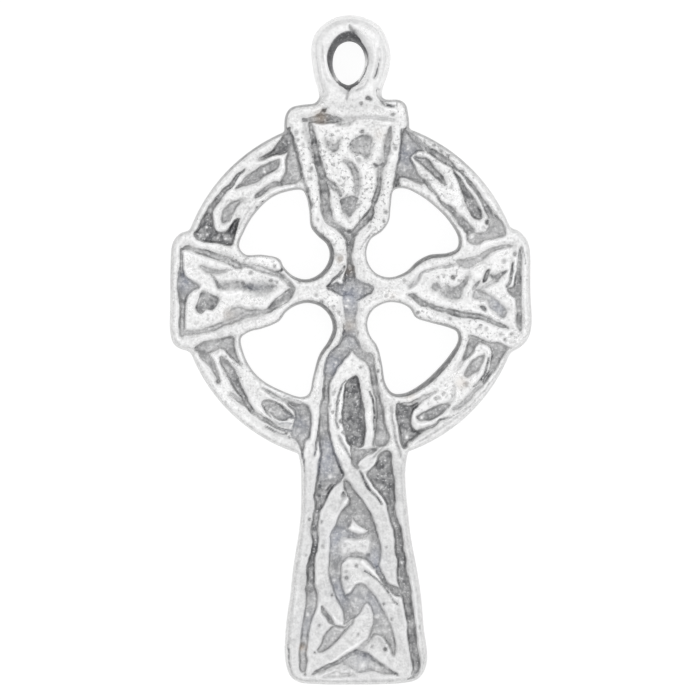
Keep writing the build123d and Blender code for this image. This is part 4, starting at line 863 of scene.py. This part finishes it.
def sink(places, ragged):
    """Carved face: how far each place is inside the nearest sunk edge, how low it lies, how dark it is.

    Every groove and floor gives e, the distance in from its edge. The face drops there by
    depth * soft_step(e / wall), and keeps the lowest; a groove narrower than the wall is shallower and
    has a wall as narrow as itself. The metal turns dark part of the way down the wall, at a ragged line;
    hairlines are as dark as their tone says, and wider grooves less so. A dip has no edge, and its
    darkness is painted shade that fades out."""
    edge = np.full(X.shape, -1.0)
    drop = np.zeros(X.shape)
    dark = np.zeros(X.shape)
    for name, deep, tone, table in GROOVES:
        where, e, width = band_depth(table, CARVED_REACH, places)
        thin = np.clip((HAIRLINE - width) / HAIRLINE_BLEND, 0, 1)
        e = e + TRACED_IN * (1 - thin) + HAIRLINE_IN * thin
        narrow = np.clip(width / SUNK_WALL, NARROWEST, 1)
        fall = GROOVE_RELIEF * deep * narrow**0.6 * soft_step(e / (SUNK_WALL * narrow) + 0.2)
        edge[where] = np.maximum(edge[where], e)
        drop[where] = np.maximum(drop[where], fall)
        share = GROOVE_TONE + (1 - GROOVE_TONE) * thin
        start = (DARK_START + DARK_RAGGED * ragged[where]) * narrow * (1 - thin)
        dark[where] = np.maximum(dark[where], share * tone * soft_step((e - start) / DARK_RISE + 0.4))
    for name, deep, tone, table in FLOORS:
        where, e = loop_depth(table, CARVED_REACH, places)
        e = e + TRACED_IN
        edge[where] = np.maximum(edge[where], e)
        drop[where] = np.maximum(drop[where], FLOOR_RELIEF * deep * soft_step(e / SUNK_WALL + 0.2))
        start = DARK_START + DARK_RAGGED * ragged[where]
        dark[where] = np.maximum(dark[where], FLOOR_TONE * tone * soft_step((e - start) / DARK_RISE + 0.4))
    # Dips: a shallow drop with painted shade
    for name, deep, tone, table in PAINTED_SHADE_DIPS:
        where, e, width = band_depth(table, CARVED_REACH, places)
        share = smear(e, width)
        drop[where] = np.maximum(drop[where], GROOVE_RELIEF * deep * share)
        dark[where] = np.maximum(dark[where], tone * share * (1 + 0.2 * ragged[where]))
    return edge, drop, dark


# Places with more cast pits; columns are photo column, photo row, radius in pixels, strength
PITTED = (
    (345, 165, 30, 1.0), (330, 150, 20, 0.6), (360, 200, 20, 0.8), (305, 150, 12, 0.8), (312, 200, 12, 0.8),
    (340, 240, 12, 0.7), (437, 148, 16, 1.0), (462, 168, 14, 1.0), (440, 190, 16, 0.6), (480, 328, 26, 0.5),
    (450, 278, 18, 0.6), (425, 312, 10, 0.6), (335, 300, 16, 0.5), (370, 290, 14, 0.5), (234, 262, 9, 1.0),
    (272, 262, 8, 0.6), (270, 282, 12, 0.5), (455, 385, 18, 0.3), (430, 410, 16, 0.2), (336, 400, 10, 0.8),
    (350, 550, 24, 0.4), (378, 225, 14, 0.6), (398, 108, 8, 0.8), (310, 440, 14, 0.4), (370, 620, 26, 0.3),
    (395, 140, 10, 0.6), (385, 190, 12, 0.7), (238, 372, 14, 0.5), (400, 300, 14, 0.4), (300, 520, 16, 0.3),
)

# Brown stains: columns are photo column, photo row, radius in pixels, strength
STAINS = (
    (320, 117, 7, 0.8), (302, 648, 3, 1.0), (410, 396, 5, 0.5), (462, 383, 6, 0.6), (340, 259, 4, 0.7),
    (350, 270, 5, 0.4), (349, 326, 6, 0.5), (380, 135, 6, 0.4), (228, 314, 6, 0.4), (392, 296, 4, 0.3),
)

# Sunk places with a cooler, bluish grey; columns are photo column, photo row, radius in pixels, strength
COOL = (
    (325, 464, 12, 0.9), (331, 445, 9, 0.7), (336, 540, 14, 0.9), (340, 592, 14, 0.8), (378, 560, 10, 1.0),
    (372, 604, 12, 0.6), (350, 298, 13, 1.0), (352, 340, 10, 0.4), (407, 155, 12, 0.6), (185, 281, 9, 0.9),
    (256, 283, 10, 0.4), (334, 365, 10, 0.8), (498, 306, 9, 0.8), (296, 425, 12, 0.6), (306, 625, 14, 0.5),
    (362, 660, 10, 0.5),
)


def spots(table, places):
    """Sum of bell-shaped spots: height * exp(-(distance / radius)²)."""
    px, py = places
    field = np.zeros(X.shape)
    for x, y, radius, height in np.column_stack([place(np.asarray(table)[:, :3]), np.asarray(table)[:, 3]]):
        where = window(np.array([[x, y]]), 3 * radius)
        field[where] += height * np.exp(-((px[where] - x) ** 2 + (py[where] - y) ** 2) / radius**2)
    return field


def islands(places):
    """Pieces that stand in the floors: how high they rise and how light they are, at every place."""
    rise = np.zeros(X.shape)
    light = np.zeros(X.shape)
    for name, lift, share, soft, table in ISLANDS:
        where, e = loop_depth(table, 0.3, places)
        rise[where] = np.maximum(rise[where], lift * soft_step(e / (0.06 + soft) + 0.15))
        light[where] = np.maximum(light[where], share * soft_step(e / soft + 0.4))
    return rise, light


def polish_and_paint_highlights(places):
    """How bright each place is, polished and with painted highlights, by the brightest band that covers it."""
    polish_and_highlight = np.zeros(X.shape)
    for name, share, table in POLISH_AND_HIGHLIGHTS:
        where, e, width = band_depth(table, 0.3, places)
        polish_and_highlight[where] = np.maximum(polish_and_highlight[where], share * smear(e, width))
    return polish_and_highlight


def build_face():
    """All the grid fields of the casting's front, as a dictionary."""
    draw = np.random.default_rng(SEED)
    depth, crest = solid_depth()
    wobbly = [field + WOBBLE * lumps(draw, WOBBLE_SIZE) + FINE_WOBBLE * lumps(draw, FINE_WOBBLE_SIZE)
              for field in (X, Y)]
    edge, drop, dark = sink(wobbly, np.clip(lumps(draw, RAGGED_SIZE), -RAGGED_MOST, RAGGED_MOST))
    pits = spots(PITS, wobbly)
    wave = lumps(draw, WAVE_SIZE)
    grain = lumps(draw, GRAIN_SIZE)
    ripple = lumps(draw, RIPPLE_SIZE)
    bail = bail_share()
    near_rim = np.exp(-((depth / NEAR_RIM) ** 2))
    top = KNOT_TOP + (RIM_TOP - KNOT_TOP) * near_rim
    top = top * (1 - bail) + BAIL_TOP * bail
    gap = np.clip(-edge, 0, None)
    flatter = 1 - STEM_FLATTER * soft_step((STEM_FLAT_FROM - Y) / STEM_FLAT_BLEND)
    roll = ROLL * flatter * np.clip(1 - gap / ROLL_WIDTH, 0, 1) ** 2
    height = top - roll - drop
    height += WAVE * wave * (1 - 0.3 * bail) + RIPPLE * ripple * (1 - 0.6 * bail)
    height += (GRAIN + SUNK_GRAIN * dark * soft_step(edge / SUNK_WALL)) * grain
    rise, light = islands(wobbly)
    height += rise
    dark = dark * (1 - light)
    polish_and_highlight = polish_and_paint_highlights(wobbly)
    height += SHINE_RISE * polish_and_highlight
    dark = dark * (1 - SHINE_LIGHT * polish_and_highlight)
    bumps = spots(LUMPS, wobbly)
    glints = spots(GLINTS, wobbly)
    height += bumps + GLINT_RISE * glints - pits
    dark = np.clip(dark - LUMP_LIGHT * bumps - GLINT_LIGHT * glints, 0, 1)
    dark = np.maximum(dark, STEM_GREY * soft_step((STEM_FROM - Y) / STEM_BLEND) * (1 - polish_and_highlight))
    height -= CREST_ROLL * np.clip(1 - np.clip(crest, 0, None) / CREST_ROLL_WIDTH, 0, 1) ** 2 * (1 - bail)
    over = np.clip(1 - depth / BAIL_ROUND, 0, BAIL_ROUND_END)
    height -= bail * BAIL_ROUND * BAIL_ROUND_SHARE * (1 - np.sqrt(1 - over * over))
    upper = UPPER_PITTED * soft_step((Y - STEM_FROM) / STEM_BLEND) * (1 - 0.8 * bail)
    pitted = np.clip(spots(PITTED, wobbly) + upper, 0, 1)
    height -= PINHOLE * pitted * np.clip(lumps(draw, PINHOLE_SIZE) - PINHOLE_FROM, 0, 2)
    height = np.minimum(height, HIGHEST)
    soft = blur(height, 0.10)
    # Oxide and painted shade in the hollows and along the foot of the walls
    foot = np.exp(-(((edge - SUNK_WALL * 0.8) / FOOT_LINE) ** 2)) * soft_step(dark * 1.6)
    # Bright edges where the face stands up: polish, partly painted highlight
    stands_up = np.clip((height - soft) / 0.035, 0, 1)
    patchy = np.clip(0.5 + 0.7 * lumps(draw, RIM_PATCH_SIZE), 0, 1)
    return {
        "depth": depth,
        "crest": crest,
        "height": height,
        "dark": dark,
        "bail": bail,
        "pitted": pitted,
        "pit": np.clip(pits * 4, 0, 1),
        "cool": np.clip(spots(COOL, wobbly), 0, 1),
        "stain": np.clip(spots(STAINS, wobbly), 0, 1),
        # Oxide and painted shade in the hollows
        "crevice_oxide_and_shade": np.clip(0.04 * foot + (soft - height) / 0.7, 0, 1),
        # Polished edges with painted highlights and glints
        "rim": stands_up * patchy + np.clip(glints + polish_and_highlight, 0, 1),
    }


def read(field, x, y):
    """Field's values at free places, by straight-line interpolation between the grid's corners."""
    u = np.clip((x - xs[0]) / STEP, 0, len(xs) - 1.001)
    v = np.clip((y - ys[0]) / STEP, 0, len(ys) - 1.001)
    j = u.astype(int)
    i = v.astype(int)
    u = u - j
    v = v - i
    low = field[i, j] * (1 - u) + field[i, j + 1] * u
    high = field[i + 1, j] * (1 - u) + field[i + 1, j + 1] * u
    return low * (1 - v) + high * v


def slide(field, x, y, rounds, longest):
    """Moves places straight up or down a field's slope to where it is zero, by Newton's steps of at
    most `longest`."""
    slope_y, slope_x = np.gradient(field, STEP)
    for _ in range(rounds):
        value = read(field, x, y)
        gx, gy = read(slope_x, x, y), read(slope_y, x, y)
        share = value / np.maximum(gx**2 + gy**2, 0.05)
        size = np.abs(share) * np.hypot(gx, gy) + 1e-9
        share = share * np.minimum(1, longest / size)
        x = x - share * gx
        y = y - share * gy
    return x, y


def kept_cells(crest):
    """Grid squares whose middle is on the face, with no two that touch by one corner alone."""
    middle = crest[:-1, :-1] + crest[1:, :-1] + crest[:-1, 1:] + crest[1:, 1:]
    keep = middle > 0
    keep[[0, -1], :] = False
    keep[:, [0, -1]] = False
    for _ in range(12):
        a, b, c, d = keep[:-1, :-1], keep[:-1, 1:], keep[1:, :-1], keep[1:, 1:]
        falling = a & d & ~b & ~c
        rising = b & c & ~a & ~d
        if not (falling.any() or rising.any()):
            break
        keep[1:, 1:] &= ~falling
        keep[1:, :-1] &= ~rising
    return keep


def opening_wall_shade(width):
    """Painted shade on an opening's wall, which is darker where more of the wall shows."""
    return np.clip(0.35 + 3.0 * width, 0.4, 1.0)


def outer_wall_shade(x, y):
    """Painted shade on the outer wall: a little more at the upper left, and more round the top arm."""
    return 0.25 + 0.12 * soft_step(y - RING_UP + 0.5) * soft_step(0.5 - x) + 0.3 * soft_step((y - 7.8) / 1.6)


def casting_mesh(face):
    """Whole casting as one closed skin.

    The face is the grid where the crest field is above zero, with its rim drawn onto the line where it
    is zero. From each rim vertex a row of wall vertices goes over a rounded edge and down the drafted
    side to the outline, then round under it to the flat back:
    share of the way out = sin(turn), height = low + (crest height - low) * cos(turn)^steep, and below the
    outline share in = back width * (1 - cos(turn)), height = floor + (low - floor) * (1 - sin(turn))."""
    depth, crest, height = face["depth"], face["crest"], face["height"]
    keep = kept_cells(crest)
    rows, columns = depth.shape
    number = np.arange(rows * columns).reshape(rows, columns)
    i, j = np.nonzero(keep)
    corners = np.column_stack([number[i, j], number[i, j + 1], number[i + 1, j + 1], number[i + 1, j]])

    # Rim runs, each with the face on its left: (inside square is kept, its neighbour isn't)
    wide = np.zeros((rows + 1, columns + 1), bool)
    wide[1:rows, 1:columns] = keep
    here = wide[1:rows, 1:columns]
    runs = []
    for beside, first, second in (
        (wide[0 : rows - 1, 1:columns], 0, 1), (wide[1:rows, 2 : columns + 1], 1, 2),
        (wide[2 : rows + 1, 1:columns], 2, 3), (wide[1:rows, 0 : columns - 1], 3, 0),
    ):
        lone = (here & ~beside)[i, j]
        runs.append(corners[lone][:, [first, second]])
    runs = np.vstack(runs)

    used = np.unique(corners)
    place_of = np.full(rows * columns, -1)
    place_of[used] = np.arange(len(used))
    x = X.ravel()[used]
    y = Y.ravel()[used]
    rim = place_of[np.unique(runs)]
    x[rim], y[rim] = slide(crest, x[rim], y[rim], 5, 0.5 * STEP)
    z = read(height, x, y)

    order = np.full(len(used), -1)
    order[rim] = np.arange(len(rim))
    runs = order[place_of[runs]]
    cx, cy, cz = x[rim], y[rim], z[rim]
    bail = read(face["bail"], cx, cy)
    after = np.empty(len(rim), int)
    before = np.empty(len(rim), int)
    after[runs[:, 0]] = runs[:, 1]
    before[runs[:, 1]] = runs[:, 0]
    ox, oy = slide(depth, cx, cy, 14, 0.08)
    for _ in range(8):
        ox = 0.5 * ox + 0.25 * (ox[before] + ox[after])
        oy = 0.5 * oy + 0.25 * (oy[before] + oy[after])
        ox, oy = slide(depth, ox, oy, 2, 0.05)
    ux, uy = oy[before] - oy[after], ox[after] - ox[before]
    for _ in range(4):
        ux = 0.5 * ux + 0.25 * (ux[before] + ux[after])
        uy = 0.5 * uy + 0.25 * (uy[before] + uy[after])
    size = np.hypot(ux, uy) + 1e-9
    ux, uy = ux / size, uy / size
    low = WALL_LOW + (BAIL_LOW - WALL_LOW) * bail
    under = BACK_ROUND + (BAIL_BACK_ROUND - BACK_ROUND) * bail
    floor = BAIL_LIFT * bail
    points = [np.column_stack([x, y, z])]
    painted_wall_shade = [np.zeros(len(used))]
    # Painted shade on the walls: darker where more of an opening's wall shows, at the outer wall's upper left
    # and round the top arm, less on the bail, and in the bail's eye
    in_eye = eye_shade(cx, cy, EYE_WALL_REACH)
    in_opening = np.hypot(cx, cy - RING_UP) < OPENINGS_REACH
    steep = 1 + STEEPER * ((in_eye > 0) | in_opening)
    tone = np.where(in_opening, opening_wall_shade(np.hypot(cx - ox, cy - oy)), outer_wall_shade(cx, cy) * (1 - 0.8 * bail))
    tone = np.maximum(tone, EYE_WALL_SHADE * in_eye)
    for turn in WALL_TURNS:
        t = np.radians(turn)
        points.append(np.column_stack([cx + (ox - cx) * np.sin(t), cy + (oy - cy) * np.sin(t),
                                       low + (cz - low) * np.cos(t) ** steep]))
        painted_wall_shade.append(tone * WALL_SHADES[turn])
    for turn in BACK_TURNS:
        t = np.radians(turn)
        points.append(np.column_stack([ox + ux * under * (1 - np.cos(t)), oy + uy * under * (1 - np.cos(t)),
                                       floor + (low - floor) * (1 - np.sin(t))]))
        painted_wall_shade.append(tone)
    quads = [place_of[corners]]
    upper = rim
    start = len(used)
    for k in range(len(WALL_TURNS) + len(BACK_TURNS)):
        lower = start + k * len(rim) + np.arange(len(rim))
        a, b = runs[:, 0], runs[:, 1]
        quads.append(np.column_stack([upper[b], upper[a], lower[a], lower[b]]))
        upper = lower

    # Back: a plain sheet between the last loop's vertices, with loose vertices over its middle
    loop = points[-1][:, :2]
    across, along = (np.arange(-half, half, BACK_STEP) for half in (HALF_WIDE, HALF_LONG))
    gx, gy = (grid.ravel() for grid in np.meshgrid(across, along))
    deep = read(depth, gx, gy) > BAIL_BACK_ROUND + 0.25
    loose = np.column_stack([gx[deep], gy[deep]])
    flat = np.vstack([loop, loose])
    found = delaunay_2d_cdt([Vector(p) for p in flat.tolist()], runs.tolist(), [], 0, 1e-7)
    triangles = np.array([t[::-1] for t in found[2]])
    middle = flat[triangles].mean(1)
    triangles = triangles[inside_loops(loop, runs, middle)]
    back_z = BAIL_LIFT * read(face["bail"], loose[:, 0], loose[:, 1])
    points.append(np.column_stack([loose, back_z]))
    painted_wall_shade.append(np.ones(len(loose)))
    below = start + (len(WALL_TURNS) + len(BACK_TURNS)) * len(rim)
    triangles = np.concatenate([upper, below + np.arange(len(loose))])[triangles]
    return np.vstack(points), np.vstack(quads), triangles, np.concatenate(painted_wall_shade)


def inside_loops(loop, runs, where):
    """True where a place is inside the loops, which keep the metal on their left."""
    a, b = loop[runs[:, 0]], loop[runs[:, 1]]
    odd = np.zeros(len(where), bool)
    for k in range(0, len(where), PLACES_AT_ONCE):
        px, py = where[k : k + PLACES_AT_ONCE].T[:, :, None]
        spans = (a[:, 1] > py) != (b[:, 1] > py)
        cross = a[:, 0] + (py - a[:, 1]) / (b[:, 1] - a[:, 1] + 1e-15) * (b[:, 0] - a[:, 0])
        odd[k : k + PLACES_AT_ONCE] = (spans & (px < cross)).sum(1) % 2 == 1
    return odd


# Middle of the bail's eye on the photo, the heading of the side of its wall with most painted shade in degrees,
# and its flattening
EYE_MIDDLE = (349.5, 60)
EYE_DARK_SIDE = 118
EYE_OVAL = 0.75


def eye_shade(x, y, reach):
    """Painted shade on the wall in the bail's eye, 0 past `reach` from its middle: a broad shade that is 1 on
    its upper left, and a narrow one on its lower right, each by the cosine of the turn from its side."""
    across, up = place((EYE_MIDDLE,))[0]
    turn = np.arctan2(y - up, x - across) - np.radians(EYE_DARK_SIDE)
    near = np.hypot(x - across, (y - up) * EYE_OVAL) < reach
    broad = soft_step((np.cos(turn) + 0.75) / 1.1)
    narrow = soft_step((-0.86 - np.cos(turn + 0.55)) / 0.08)
    return near * np.maximum(broad, narrow)


def build_casting(face):
    """Blender object of the casting, with its finish attributes on the vertices, painted shade and highlights
    among them.
    """
    points, quads, triangles, painted_wall_shade = casting_mesh(face)
    mesh = bpy.data.meshes.new("silver_cross")
    corners = np.concatenate([quads.ravel(), triangles.ravel()])
    starts = np.concatenate([np.arange(len(quads)) * 4, len(quads) * 4 + np.arange(len(triangles)) * 3])
    mesh.vertices.add(len(points))
    mesh.vertices.foreach_set("co", (points * MM).astype(np.float32).ravel())
    mesh.loops.add(len(corners))
    mesh.loops.foreach_set("vertex_index", corners.astype(np.int32))
    mesh.polygons.add(len(starts))
    mesh.polygons.foreach_set("loop_start", starts.astype(np.int32))
    smooth = np.ones(len(starts), bool)
    smooth[len(quads) :] = False
    mesh.polygons.foreach_set("use_smooth", smooth)
    mesh.update(calc_edges=True)
    x, y = points[:, 0], points[:, 1]
    on_face = painted_wall_shade == 0
    for name in ("dark", "pit", "bail", "stain", "cool", "crevice_oxide_and_shade", "pitted", "rim"):
        values = read(face[name], x, y)
        if name != "bail":
            values = np.where(on_face, values, 0.0)
        # Painted shade of the bail's eye, put on its walls
        if name in ("dark", "crevice_oxide_and_shade"):
            values = np.maximum(values, eye_shade(x, y, EYE_FACE_REACH) * (painted_wall_shade > 0))
        mesh.attributes.new(name, "FLOAT", "POINT").data.foreach_set("value", values.astype(np.float32))
    mesh.attributes.new("painted_wall_shade", "FLOAT", "POINT").data.foreach_set("value", painted_wall_shade.astype(np.float32))
    cross = bpy.data.objects.new("silver_cross", mesh)
    bpy.context.scene.collection.objects.link(cross)
    return cross


def shade(name):
    """New material whose only nodes so far are its surface shader and output."""
    material = bpy.data.materials.new(name)
    material.use_nodes = True
    tree = material.node_tree
    return material, tree, tree.nodes["Principled BSDF"]


def attribute(tree, name):
    """Output of a vertex attribute."""
    node = tree.nodes.new("ShaderNodeAttribute")
    node.attribute_name = name
    return node.outputs["Fac"]


def sum_up(tree, kind, a, b):
    """Output of a sum, product, power and so on of two outputs or numbers."""
    node = tree.nodes.new("ShaderNodeMath")
    node.operation = kind
    for socket, value in zip(node.inputs, (a, b)):
        if isinstance(value, (int, float)):
            socket.default_value = value
        else:
            tree.links.new(value, socket)
    return node.outputs[0]


def times(tree, a, b):
    """Output of a product."""
    return sum_up(tree, "MULTIPLY", a, b)


def plus(tree, a, b):
    """Output of a sum."""
    return sum_up(tree, "ADD", a, b)


def tint(tree, share, first, second):
    """Colour that goes from first to second as the share goes from 0 to 1."""
    node = tree.nodes.new("ShaderNodeMix")
    node.data_type = "RGBA"
    node.clamp_factor = True
    tree.links.new(share, node.inputs["Factor"])
    for socket, value in ((node.inputs["A"], first), (node.inputs["B"], second)):
        if isinstance(value, tuple):
            socket.default_value = (*value, 1)
        else:
            tree.links.new(value, socket)
    return node.outputs["Result"]


def steps(tree, value, low, high):
    """0 below low, 1 above high, and a straight ramp between."""
    node = tree.nodes.new("ShaderNodeMapRange")
    node.inputs["From Min"].default_value = low
    node.inputs["From Max"].default_value = high
    tree.links.new(value, node.inputs["Value"])
    return node.outputs["Result"]


def noise(tree, size, detail, stretch=(1, 1, 1)):
    """Noise that varies over about `size` mm of the casting, stretched along its axes."""
    place_node = tree.nodes.new("ShaderNodeTexCoord")
    mapping = tree.nodes.new("ShaderNodeMapping")
    mapping.inputs["Scale"].default_value = tuple(s / (size * MM) for s in stretch)
    tree.links.new(place_node.outputs["Object"], mapping.inputs["Vector"])
    node = tree.nodes.new("ShaderNodeTexNoise")
    node.inputs["Scale"].default_value = 1.0
    node.inputs["Detail"].default_value = detail
    tree.links.new(mapping.outputs["Vector"], node.inputs["Vector"])
    return node.outputs["Fac"]


# Colours of the finish
SPECKLE_GREY = (0.70, 0.70, 0.697)
TOP_SILVER = (0.93, 0.93, 0.925)
# White of the polished edges and painted highlights, and the full reflection off the face
POLISH_AND_HIGHLIGHT_WHITE = (1.0, 1.0, 1.0)
GLINT_WHITE = (0.96, 0.96, 0.96)
FLOOR_GREY = (0.168, 0.17, 0.176)
COOL_GREY = (0.136, 0.163, 0.25)
HOLE_GREY = (0.13, 0.13, 0.135)
# Painted shade on the walls, and their dimmed reflection
WALL_SHADE_GREY = (0.22, 0.22, 0.225)
WALL_SHADE_SHEEN = (0.4, 0.4, 0.4)
# Oxide and painted shade in the crevices
CREVICE_OXIDE_AND_SHADE_GREY = (0.22, 0.22, 0.23)
PIT_GREY = (0.16, 0.16, 0.165)
STAIN_BROWN = (0.55, 0.42, 0.30)

# Marks over the finish, the crevices' one being oxide and painted shade; columns: vertex attribute, strength,
# colour
MARKS = (("crevice_oxide_and_shade", 0.4, CREVICE_OXIDE_AND_SHADE_GREY), ("pit", 0.7, PIT_GREY), ("stain", 0.4, STAIN_BROWN))


def tumbled_silver():
    """Bright tumbled silver, grey and speckled where it is sunk, white on the polished edges and painted
    highlights, with painted shade on the walls and dips, and oxide and painted shade in the crevices.
    """
    material, tree, silver = shade("tumbled_silver")
    mottle = noise(tree, 0.9, 4)
    blotch = steps(tree, noise(tree, 0.24, 4), 0.38, 0.62)
    speck = noise(tree, 0.11, 3)
    dust = noise(tree, 0.055, 2)
    dark = attribute(tree, "dark")
    pitted = attribute(tree, "pitted")

    # Tops: speckled grey to silver, white where they are polished and at painted highlights and glints, and
    # lighter over the bail as painted light
    fleck = plus(tree, times(tree, speck, 0.5), times(tree, noise(tree, 0.35, 3), 0.5))
    fleck = steps(tree, plus(tree, fleck, times(tree, pitted, 0.12)), 0.38, 0.6)
    colour = tint(tree, fleck, SPECKLE_GREY, TOP_SILVER)
    # Painted glints: small white specks on the tops, more where they are pitted
    most = sum_up(tree, "MINIMUM", times(tree, pitted, 1.6), 0.65)
    polish_and_highlight = times(tree, steps(tree, speck, 0.53, 0.63), most)
    polish_and_highlight = sum_up(tree, "MAXIMUM", polish_and_highlight, times(tree, attribute(tree, "rim"), 0.95))
    # Painted light: the whole bail is lightened towards white
    polish_and_highlight = sum_up(tree, "MAXIMUM", polish_and_highlight, times(tree, attribute(tree, "bail"), 0.4))
    colour = tint(tree, polish_and_highlight, colour, POLISH_AND_HIGHLIGHT_WHITE)

    # Sunk places: patchy dark grey, bluish in some; in the dips this grey is painted shade
    patches = times(tree, steps(tree, noise(tree, 0.6, 3), 0.36, 0.64), 0.42)
    share = plus(tree, 0.52, plus(tree, patches, times(tree, blotch, 0.42)))
    sunk = sum_up(tree, "MINIMUM", times(tree, dark, share), 1.0)
    floor = tint(tree, attribute(tree, "cool"), FLOOR_GREY, COOL_GREY)
    colour = tint(tree, sunk, colour, floor)

    # Pinholes and grit
    holes = times(tree, steps(tree, dust, 0.53, 0.60), plus(tree, times(tree, dark, 0.6), 0.04))
    grit = times(tree, steps(tree, noise(tree, 0.15, 3), 0.54, 0.68), times(tree, pitted, 0.8))
    holes = sum_up(tree, "MINIMUM", sum_up(tree, "MAXIMUM", holes, grit), 1.0)
    colour = tint(tree, times(tree, holes, 0.75), colour, HOLE_GREY)

    # Painted shade on the walls, with their reflection dimmed, painted glints in the sunk places, oxide and
    # painted shade in the crevices, pits and stains
    painted_wall_shade = times(tree, attribute(tree, "painted_wall_shade"), plus(tree, 0.75, times(tree, blotch, 0.4)))
    colour = tint(tree, painted_wall_shade, colour, WALL_SHADE_GREY)
    glint = times(tree, steps(tree, speck, 0.60, 0.66), dark)
    colour = tint(tree, times(tree, glint, 0.7), colour, GLINT_WHITE)
    tree.links.new(tint(tree, painted_wall_shade, POLISH_AND_HIGHLIGHT_WHITE, WALL_SHADE_SHEEN), silver.inputs["Specular Tint"])
    for name, strength, mark in MARKS:
        colour = tint(tree, times(tree, attribute(tree, name), strength), colour, mark)
    tree.links.new(colour, silver.inputs["Base Color"])
    silver.inputs["Metallic"].default_value = 0.92
    rough = plus(tree, plus(tree, 0.20, times(tree, mottle, 0.18)), times(tree, sunk, 0.2))
    tree.links.new(rough, silver.inputs["Roughness"])

    # Fine scratches along the stem
    scratch = noise(tree, 0.05, 2, (1, 0.08, 1))
    bump = tree.nodes.new("ShaderNodeBump")
    bump.inputs["Strength"].default_value = 0.5
    bump.inputs["Distance"].default_value = 0.02 * MM
    tree.links.new(plus(tree, scratch, times(tree, speck, 2.0)), bump.inputs["Height"])
    tree.links.new(bump.outputs["Normal"], silver.inputs["Normal"])
    return material


def table_top():
    """White table that the casting lies on."""
    mesh = bpy.data.meshes.new("table_top")
    reach, level = TABLE_REACH * MM, TABLE_LEVEL * MM
    mesh.from_pydata([(-reach, -reach, level), (reach, -reach, level), (reach, reach, level),
                      (-reach, reach, level)], [], [(0, 1, 2, 3)])
    table = bpy.data.objects.new("table_top", mesh)
    bpy.context.scene.collection.objects.link(table)
    material, _, paper = shade("white_paper")
    paper.inputs["Base Color"].default_value = (0.2, 0.2, 0.2, 1)
    paper.inputs["Roughness"].default_value = 0.9
    paper.inputs["Specular IOR Level"].default_value = 0.1
    paper.inputs["Emission Color"].default_value = (1, 1, 1, 1)
    paper.inputs["Emission Strength"].default_value = 0.9
    mesh.materials.append(material)


def lamp(name, where, size, power):
    """Square soft light that faces the casting."""
    light = bpy.data.lights.new(name, "AREA")
    light.shape = "SQUARE"
    light.size = size
    light.energy = power
    lamp_object = bpy.data.objects.new(name, light)
    bpy.context.scene.collection.objects.link(lamp_object)
    lamp_object.location = where
    lamp_object.rotation_euler = (-Vector(where)).to_track_quat("-Z", "Y").to_euler()
    lamp_object.visible_camera = False
    return lamp_object


# Camera's height over the casting's face, the width that it takes in and its shift sideways, in mm
CAMERA_HEIGHT = 600.0
VIEW_WIDTH = 35.0
CAMERA_RIGHT = -0.07
SENSOR_WIDTH = 36.0

# Levels of the table and of the casting's face for the camera, and the table's half width
TABLE_LEVEL = -0.02
FACE_LEVEL = 2.0
TABLE_REACH = 600.0

# How pale the room is; columns: height on the sky from 0 at the table to 1 overhead, grey
ROOM_GREYS = ((0.0, 0.95), (0.25, 0.84), (0.5, 0.68), (0.75, 0.76), (0.9, 0.90), (1.0, 0.95))


def studio():
    """Table, soft lights, pale surroundings and the camera straight above the casting."""
    table_top()
    lamp("softbox_over", (0.05, 0.10, 0.75), 0.22, 0.06)
    lamp("softbox_left", (-0.45, 0.20, 0.35), 0.30, 0.08)
    world = bpy.data.worlds.new("pale_room")
    world.use_nodes = True
    tree = world.node_tree
    heading = tree.nodes.new("ShaderNodeTexCoord")
    parts = tree.nodes.new("ShaderNodeSeparateXYZ")
    tree.links.new(heading.outputs["Generated"], parts.inputs["Vector"])
    bands = tree.nodes.new("ShaderNodeValToRGB")
    stops = bands.color_ramp.elements
    for place_on_ramp, grey in ROOM_GREYS[1:-1]:
        stops.new(place_on_ramp).color = (grey, grey, grey * 1.005, 1)
    for stop, (place_on_ramp, grey) in ((stops[0], ROOM_GREYS[0]), (stops[-1], ROOM_GREYS[-1])):
        stop.position = place_on_ramp
        stop.color = (grey, grey, grey * 1.005, 1)
    tree.links.new(parts.outputs["Z"], bands.inputs["Fac"])
    sideways = sum_up(tree, "ADD", 1.06, sum_up(tree, "MULTIPLY", parts.outputs["X"], 0.12))
    tree.links.new(bands.outputs["Color"], tree.nodes["Background"].inputs["Color"])
    tree.links.new(sideways, tree.nodes["Background"].inputs["Strength"])
    bpy.context.scene.world = world
    camera = bpy.data.cameras.new("camera")
    camera.sensor_width = SENSOR_WIDTH
    camera.lens = SENSOR_WIDTH * CAMERA_HEIGHT / VIEW_WIDTH
    camera.clip_end = 5.0
    eye = bpy.data.objects.new("camera", camera)
    bpy.context.scene.collection.objects.link(eye)
    eye.location = (CAMERA_RIGHT * MM, 0.0, (CAMERA_HEIGHT + FACE_LEVEL) * MM)
    eye.rotation_euler = (0.0, 0.0, -LEAN)
    bpy.context.scene.camera = eye
    bpy.context.scene.view_settings.view_transform = "Standard"


cross = build_casting(build_face())
cross.data.materials.append(tumbled_silver())
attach(cross, "root")
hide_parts("cross_casting")
studio()
